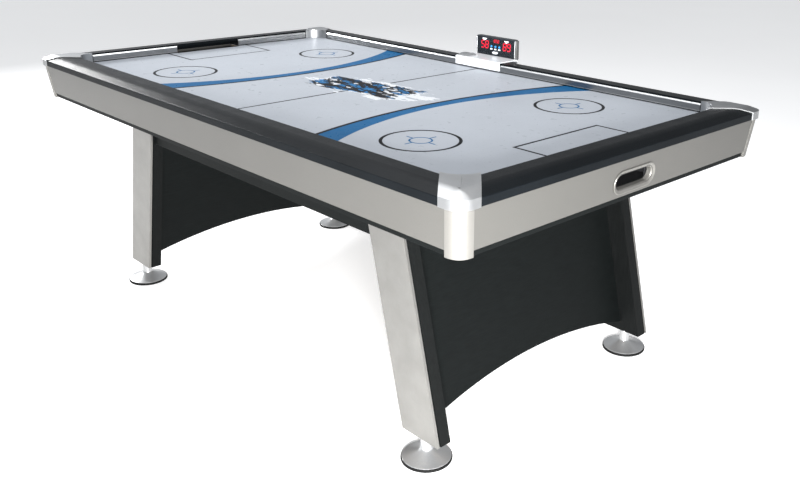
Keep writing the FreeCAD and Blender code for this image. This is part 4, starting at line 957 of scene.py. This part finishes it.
    def ends(self):
        """Rounded dark ends, each behind a thin bright line."""
        for side in (-1, 1):
            name = "right" if side > 0 else "left"
            x = side * self.high.x
            line = slab((x - 0.0013, self.low.y - 0.0008, self.low.z + 0.0100),
                        (x + 0.0013, self.low.y + 0.0020, self.high.z - 0.0030))
            bevel(line, 0.0009, 3)
            settle(line, "scorer_line_" + name, "cap", "table")
            end = slab((x - 0.0060, self.low.y + 0.0018, self.low.z + 0.0060),
                       (x + 0.0060, self.high.y + 0.0004, self.high.z - 0.0020))
            bevel(end, 0.0052, 5)
            settle(end, "scorer_end_" + name, "end_cap", "table")

    def grip(self):
        """A half-round roll on the saddle's left part, dark grey as a painted reflection on its silver."""
        low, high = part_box("scorer_saddle")
        radius = 0.0285
        sleeve = turned([(radius * 0.80, 0.0), (radius * 0.95, 0.0006), (radius, 0.0026),
                         (radius, 0.0414), (radius * 0.95, 0.0434), (radius * 0.80, 0.0440)], 64)
        turn_part(sleeve, math.radians(90.0), "Y")
        pick(sleeve)
        bpy.ops.object.mode_set(mode="EDIT")
        bpy.ops.mesh.select_all(action="SELECT")
        bpy.ops.mesh.bisect(plane_co=(0.0, 0.0, 0.0), plane_no=(0.0, 0.0, 1.0),
                            clear_inner=True, use_fill=True)
        bpy.ops.mesh.select_all(action="SELECT")
        bpy.ops.transform.resize(value=(1.0, 1.0, 0.33), center_override=(0.0, 0.0, 0.0))
        bpy.ops.object.mode_set(mode="OBJECT")
        sleeve.matrix_world = Matrix.Translation((low.x + 0.006, low.y + 0.033, high.z - 0.0012))
        settle(sleeve, "saddle_grip", "grip", "table")


class AIRTABLE_OT_blower(bpy.types.Operator):
    """The blower drum, its impeller, motor and intake guard"""

    bl_idname = "air_table.blower"
    bl_label = "Blower"

    def execute(self, context):
        softened("blower_housing", "drum", 0.0015, 3, 50)
        softened("blower_impeller", "drum", 0.0002, 1)
        softened("blower_motor", "motor", 0.0012, 2, 50)
        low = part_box("blower_housing")[0]
        rings = []
        for radius in (0.030, 0.044, 0.058, 0.072, 0.084):
            bpy.ops.object.select_all(action="DESELECT")
            bpy.ops.mesh.primitive_torus_add(major_radius=radius, minor_radius=0.0011,
                                             major_segments=72, minor_segments=8,
                                             location=(0.0, 0.0, low.z - 0.0050))
            rings.append(bpy.context.view_layer.objects.active)
        for turn in range(4):
            spoke = slab((-0.086, -0.0011, low.z - 0.0075), (0.086, 0.0011, low.z - 0.0053))
            bevel(spoke, 0.0008, 2)
            turn_part(spoke, math.radians(45.0 * turn), "Z")
            rings.append(spoke)
        for turn in range(4):
            angle = math.radians(45.0 + 90.0 * turn)
            centre = (0.086 * math.cos(angle), 0.086 * math.sin(angle), low.z)
            rings.append(turned([(0.0042, -0.0078), (0.0042, -0.0062), (0.0026, -0.0058),
                                 (0.0026, 0.0004)], 24, centre))
        guard = joined(rings)
        settle(guard, "blower_guard", "steel", "table")
        return {"FINISHED"}


class AIRTABLE_OT_power(bpy.types.Operator):
    """The switch box with its rocker, frame and contact pins"""

    bl_idname = "air_table.power"
    bl_label = "Switch and inlet"

    def execute(self, context):
        softened("switch_box", "box", 0.0008)
        softened("power_rocker", "rocker", 0.0006, 3)
        low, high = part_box("switch_box")
        x = low.x + (high.x - low.x) * 0.75
        y = (low.y + high.y) / 2
        pins = []
        for step, across in ((-0.007, 0.0), (0.0, 0.003), (0.007, 0.0)):
            pin = slab((x + step - 0.001, y + across - 0.002, low.z + 0.003),
                       (x + step + 0.001, y + across + 0.002, low.z + 0.0185))
            bevel(pin, 0.0005, 2)
            pins.append(pin)
        settle(joined(pins), "inlet_pins", "steel", "table")
        return {"FINISHED"}


# --------------------------------------------------------------------- stage

class AIRTABLE_OT_stage(bpy.types.Operator):
    """Pale floor, soft lights and the camera"""

    bl_idname = "air_table.stage"
    bl_label = "Stage"

    def execute(self, context):
        scene = context.scene
        scene.view_settings.view_transform = "Standard"
        scene.view_settings.look = "None"
        self.floor()
        self.world(scene)
        self.light("left_softbox", (-4.5, -0.6, 2.5), (-0.6, -0.5, 0.8), 1.2, 1.0, 170.0)
        self.light("overhead", (-0.6, 0.3, 3.1), (-0.6, 0.3, 0.8), 2.6, 2.0, 48.0)
        self.light("corner_softbox", (2.55, -1.95, 0.95), (1.0, -0.5, 0.7), 0.7, 0.5, 300.0)
        self.camera(scene)
        return {"FINISHED"}

    def floor(self):
        """A wide pale floor with a faint unevenness in its tone."""
        bpy.ops.object.select_all(action="DESELECT")
        bpy.ops.mesh.primitive_plane_add(size=60.0)
        floor = bpy.context.view_layer.objects.active
        floor.name = "studio_floor"
        paint = Paint("studio_floor", {
            "Specular IOR Level": 0.2, "Emission Color": (1.0, 1.0, 1.0), "Emission Strength": 0.38})
        cloud = paint.noise(0.8, 2.0).spread(0.3, 0.7)
        paint.drive("Base Color", paint.mix(cloud, (0.86, 0.86, 0.86), (0.89, 0.89, 0.89)))
        paint.drive("Roughness", cloud.spread(0.0, 1.0, 0.75, 0.85))
        floor.data.materials.append(paint.material)

    def world(self, scene):
        """Cool studio light, brighter from the table's two ends than from its sides."""
        scene.world = bpy.data.worlds.new("studio")
        scene.world.use_nodes = True
        tree = scene.world.node_tree
        backdrop = tree.nodes["Background"]
        backdrop.inputs["Color"].default_value = (0.93, 0.96, 1.0, 1.0)
        coordinates = tree.nodes.new("ShaderNodeTexCoord")
        split = tree.nodes.new("ShaderNodeSeparateXYZ")
        tree.links.new(coordinates.outputs["Generated"], split.inputs[0])
        square = tree.nodes.new("ShaderNodeMath")
        square.operation = "MULTIPLY"
        tree.links.new(split.outputs["X"], square.inputs[0])
        tree.links.new(split.outputs["X"], square.inputs[1])
        strength = tree.nodes.new("ShaderNodeMath")
        strength.operation = "MULTIPLY_ADD"
        tree.links.new(square.outputs[0], strength.inputs[0])
        strength.inputs[1].default_value = 0.65
        strength.inputs[2].default_value = 0.25
        tree.links.new(strength.outputs[0], backdrop.inputs["Strength"])

    def light(self, name, place, target, wide, tall, power):
        bpy.ops.object.select_all(action="DESELECT")
        bpy.ops.object.light_add(type="AREA", location=place)
        lamp = bpy.context.view_layer.objects.active
        lamp.name = name
        lamp.data.shape = "RECTANGLE"
        lamp.data.size = wide
        lamp.data.size_y = tall
        lamp.data.energy = power
        aim = Vector(target) - Vector(place)
        lamp.rotation_euler = aim.to_track_quat("-Z", "Y").to_euler()

    def camera(self, scene):
        """Stand at the right-hand front corner, looking along the table."""
        place = (2.2216, -1.7434, 1.3748)
        yaw, pitch, roll = math.radians(44.48), math.radians(-18.27), math.radians(1.01)
        ahead = Vector((-math.sin(yaw) * math.cos(pitch), math.cos(yaw) * math.cos(pitch), math.sin(pitch)))
        level = Vector((math.cos(yaw), math.sin(yaw), 0.0))
        upward = level.cross(ahead)
        side = level * math.cos(roll) + upward * math.sin(roll)
        top = upward * math.cos(roll) - level * math.sin(roll)
        bpy.ops.object.camera_add()
        camera = bpy.context.view_layer.objects.active
        camera.name = "studio_camera"
        camera.matrix_world = Matrix((
            (side.x, top.x, -ahead.x, place[0]), (side.y, top.y, -ahead.y, place[1]),
            (side.z, top.z, -ahead.z, place[2]), (0.0, 0.0, 0.0, 1.0)))
        camera.data.sensor_width = 36.0
        camera.data.lens = 39.70
        camera.data.shift_x = -0.0935
        camera.data.shift_y = -0.0753
        scene.camera = camera


# --------------------------------------------------------------------- panel

PIECES = (
    AIRTABLE_OT_playfield, AIRTABLE_OT_rails, AIRTABLE_OT_corners, AIRTABLE_OT_cabinet,
    AIRTABLE_OT_goals, AIRTABLE_OT_legs, AIRTABLE_OT_feet, AIRTABLE_OT_scorer,
    AIRTABLE_OT_blower, AIRTABLE_OT_power, AIRTABLE_OT_stage,
)


class AIRTABLE_PT_panel(bpy.types.Panel):
    """Lists the finishes, the details and the pieces"""

    bl_label = "Air Table"
    bl_idname = "AIRTABLE_PT_panel"
    bl_space_type = "VIEW_3D"
    bl_region_type = "UI"
    bl_category = "Air Table"

    def draw(self, context):
        layout = self.layout
        for group in (context.scene.table_finish, context.scene.table_detail):
            box = layout.box()
            for name in group.__annotations__:
                box.prop(group, name)
        for piece in PIECES:
            layout.operator(piece.bl_idname)


CLASSES = (TableFinish, TableDetail, *PIECES, AIRTABLE_PT_panel)


def register():
    for item in CLASSES:
        bpy.utils.register_class(item)
    bpy.types.Scene.table_finish = PointerProperty(type=TableFinish)
    bpy.types.Scene.table_detail = PointerProperty(type=TableDetail)


def unregister():
    del bpy.types.Scene.table_detail
    del bpy.types.Scene.table_finish
    for item in reversed(CLASSES):
        bpy.utils.unregister_class(item)


def main():
    register()
    for piece in PIECES:
        group, name = piece.bl_idname.split(".")
        getattr(getattr(bpy.ops, group), name)()


if __name__ == "__main__":
    main()
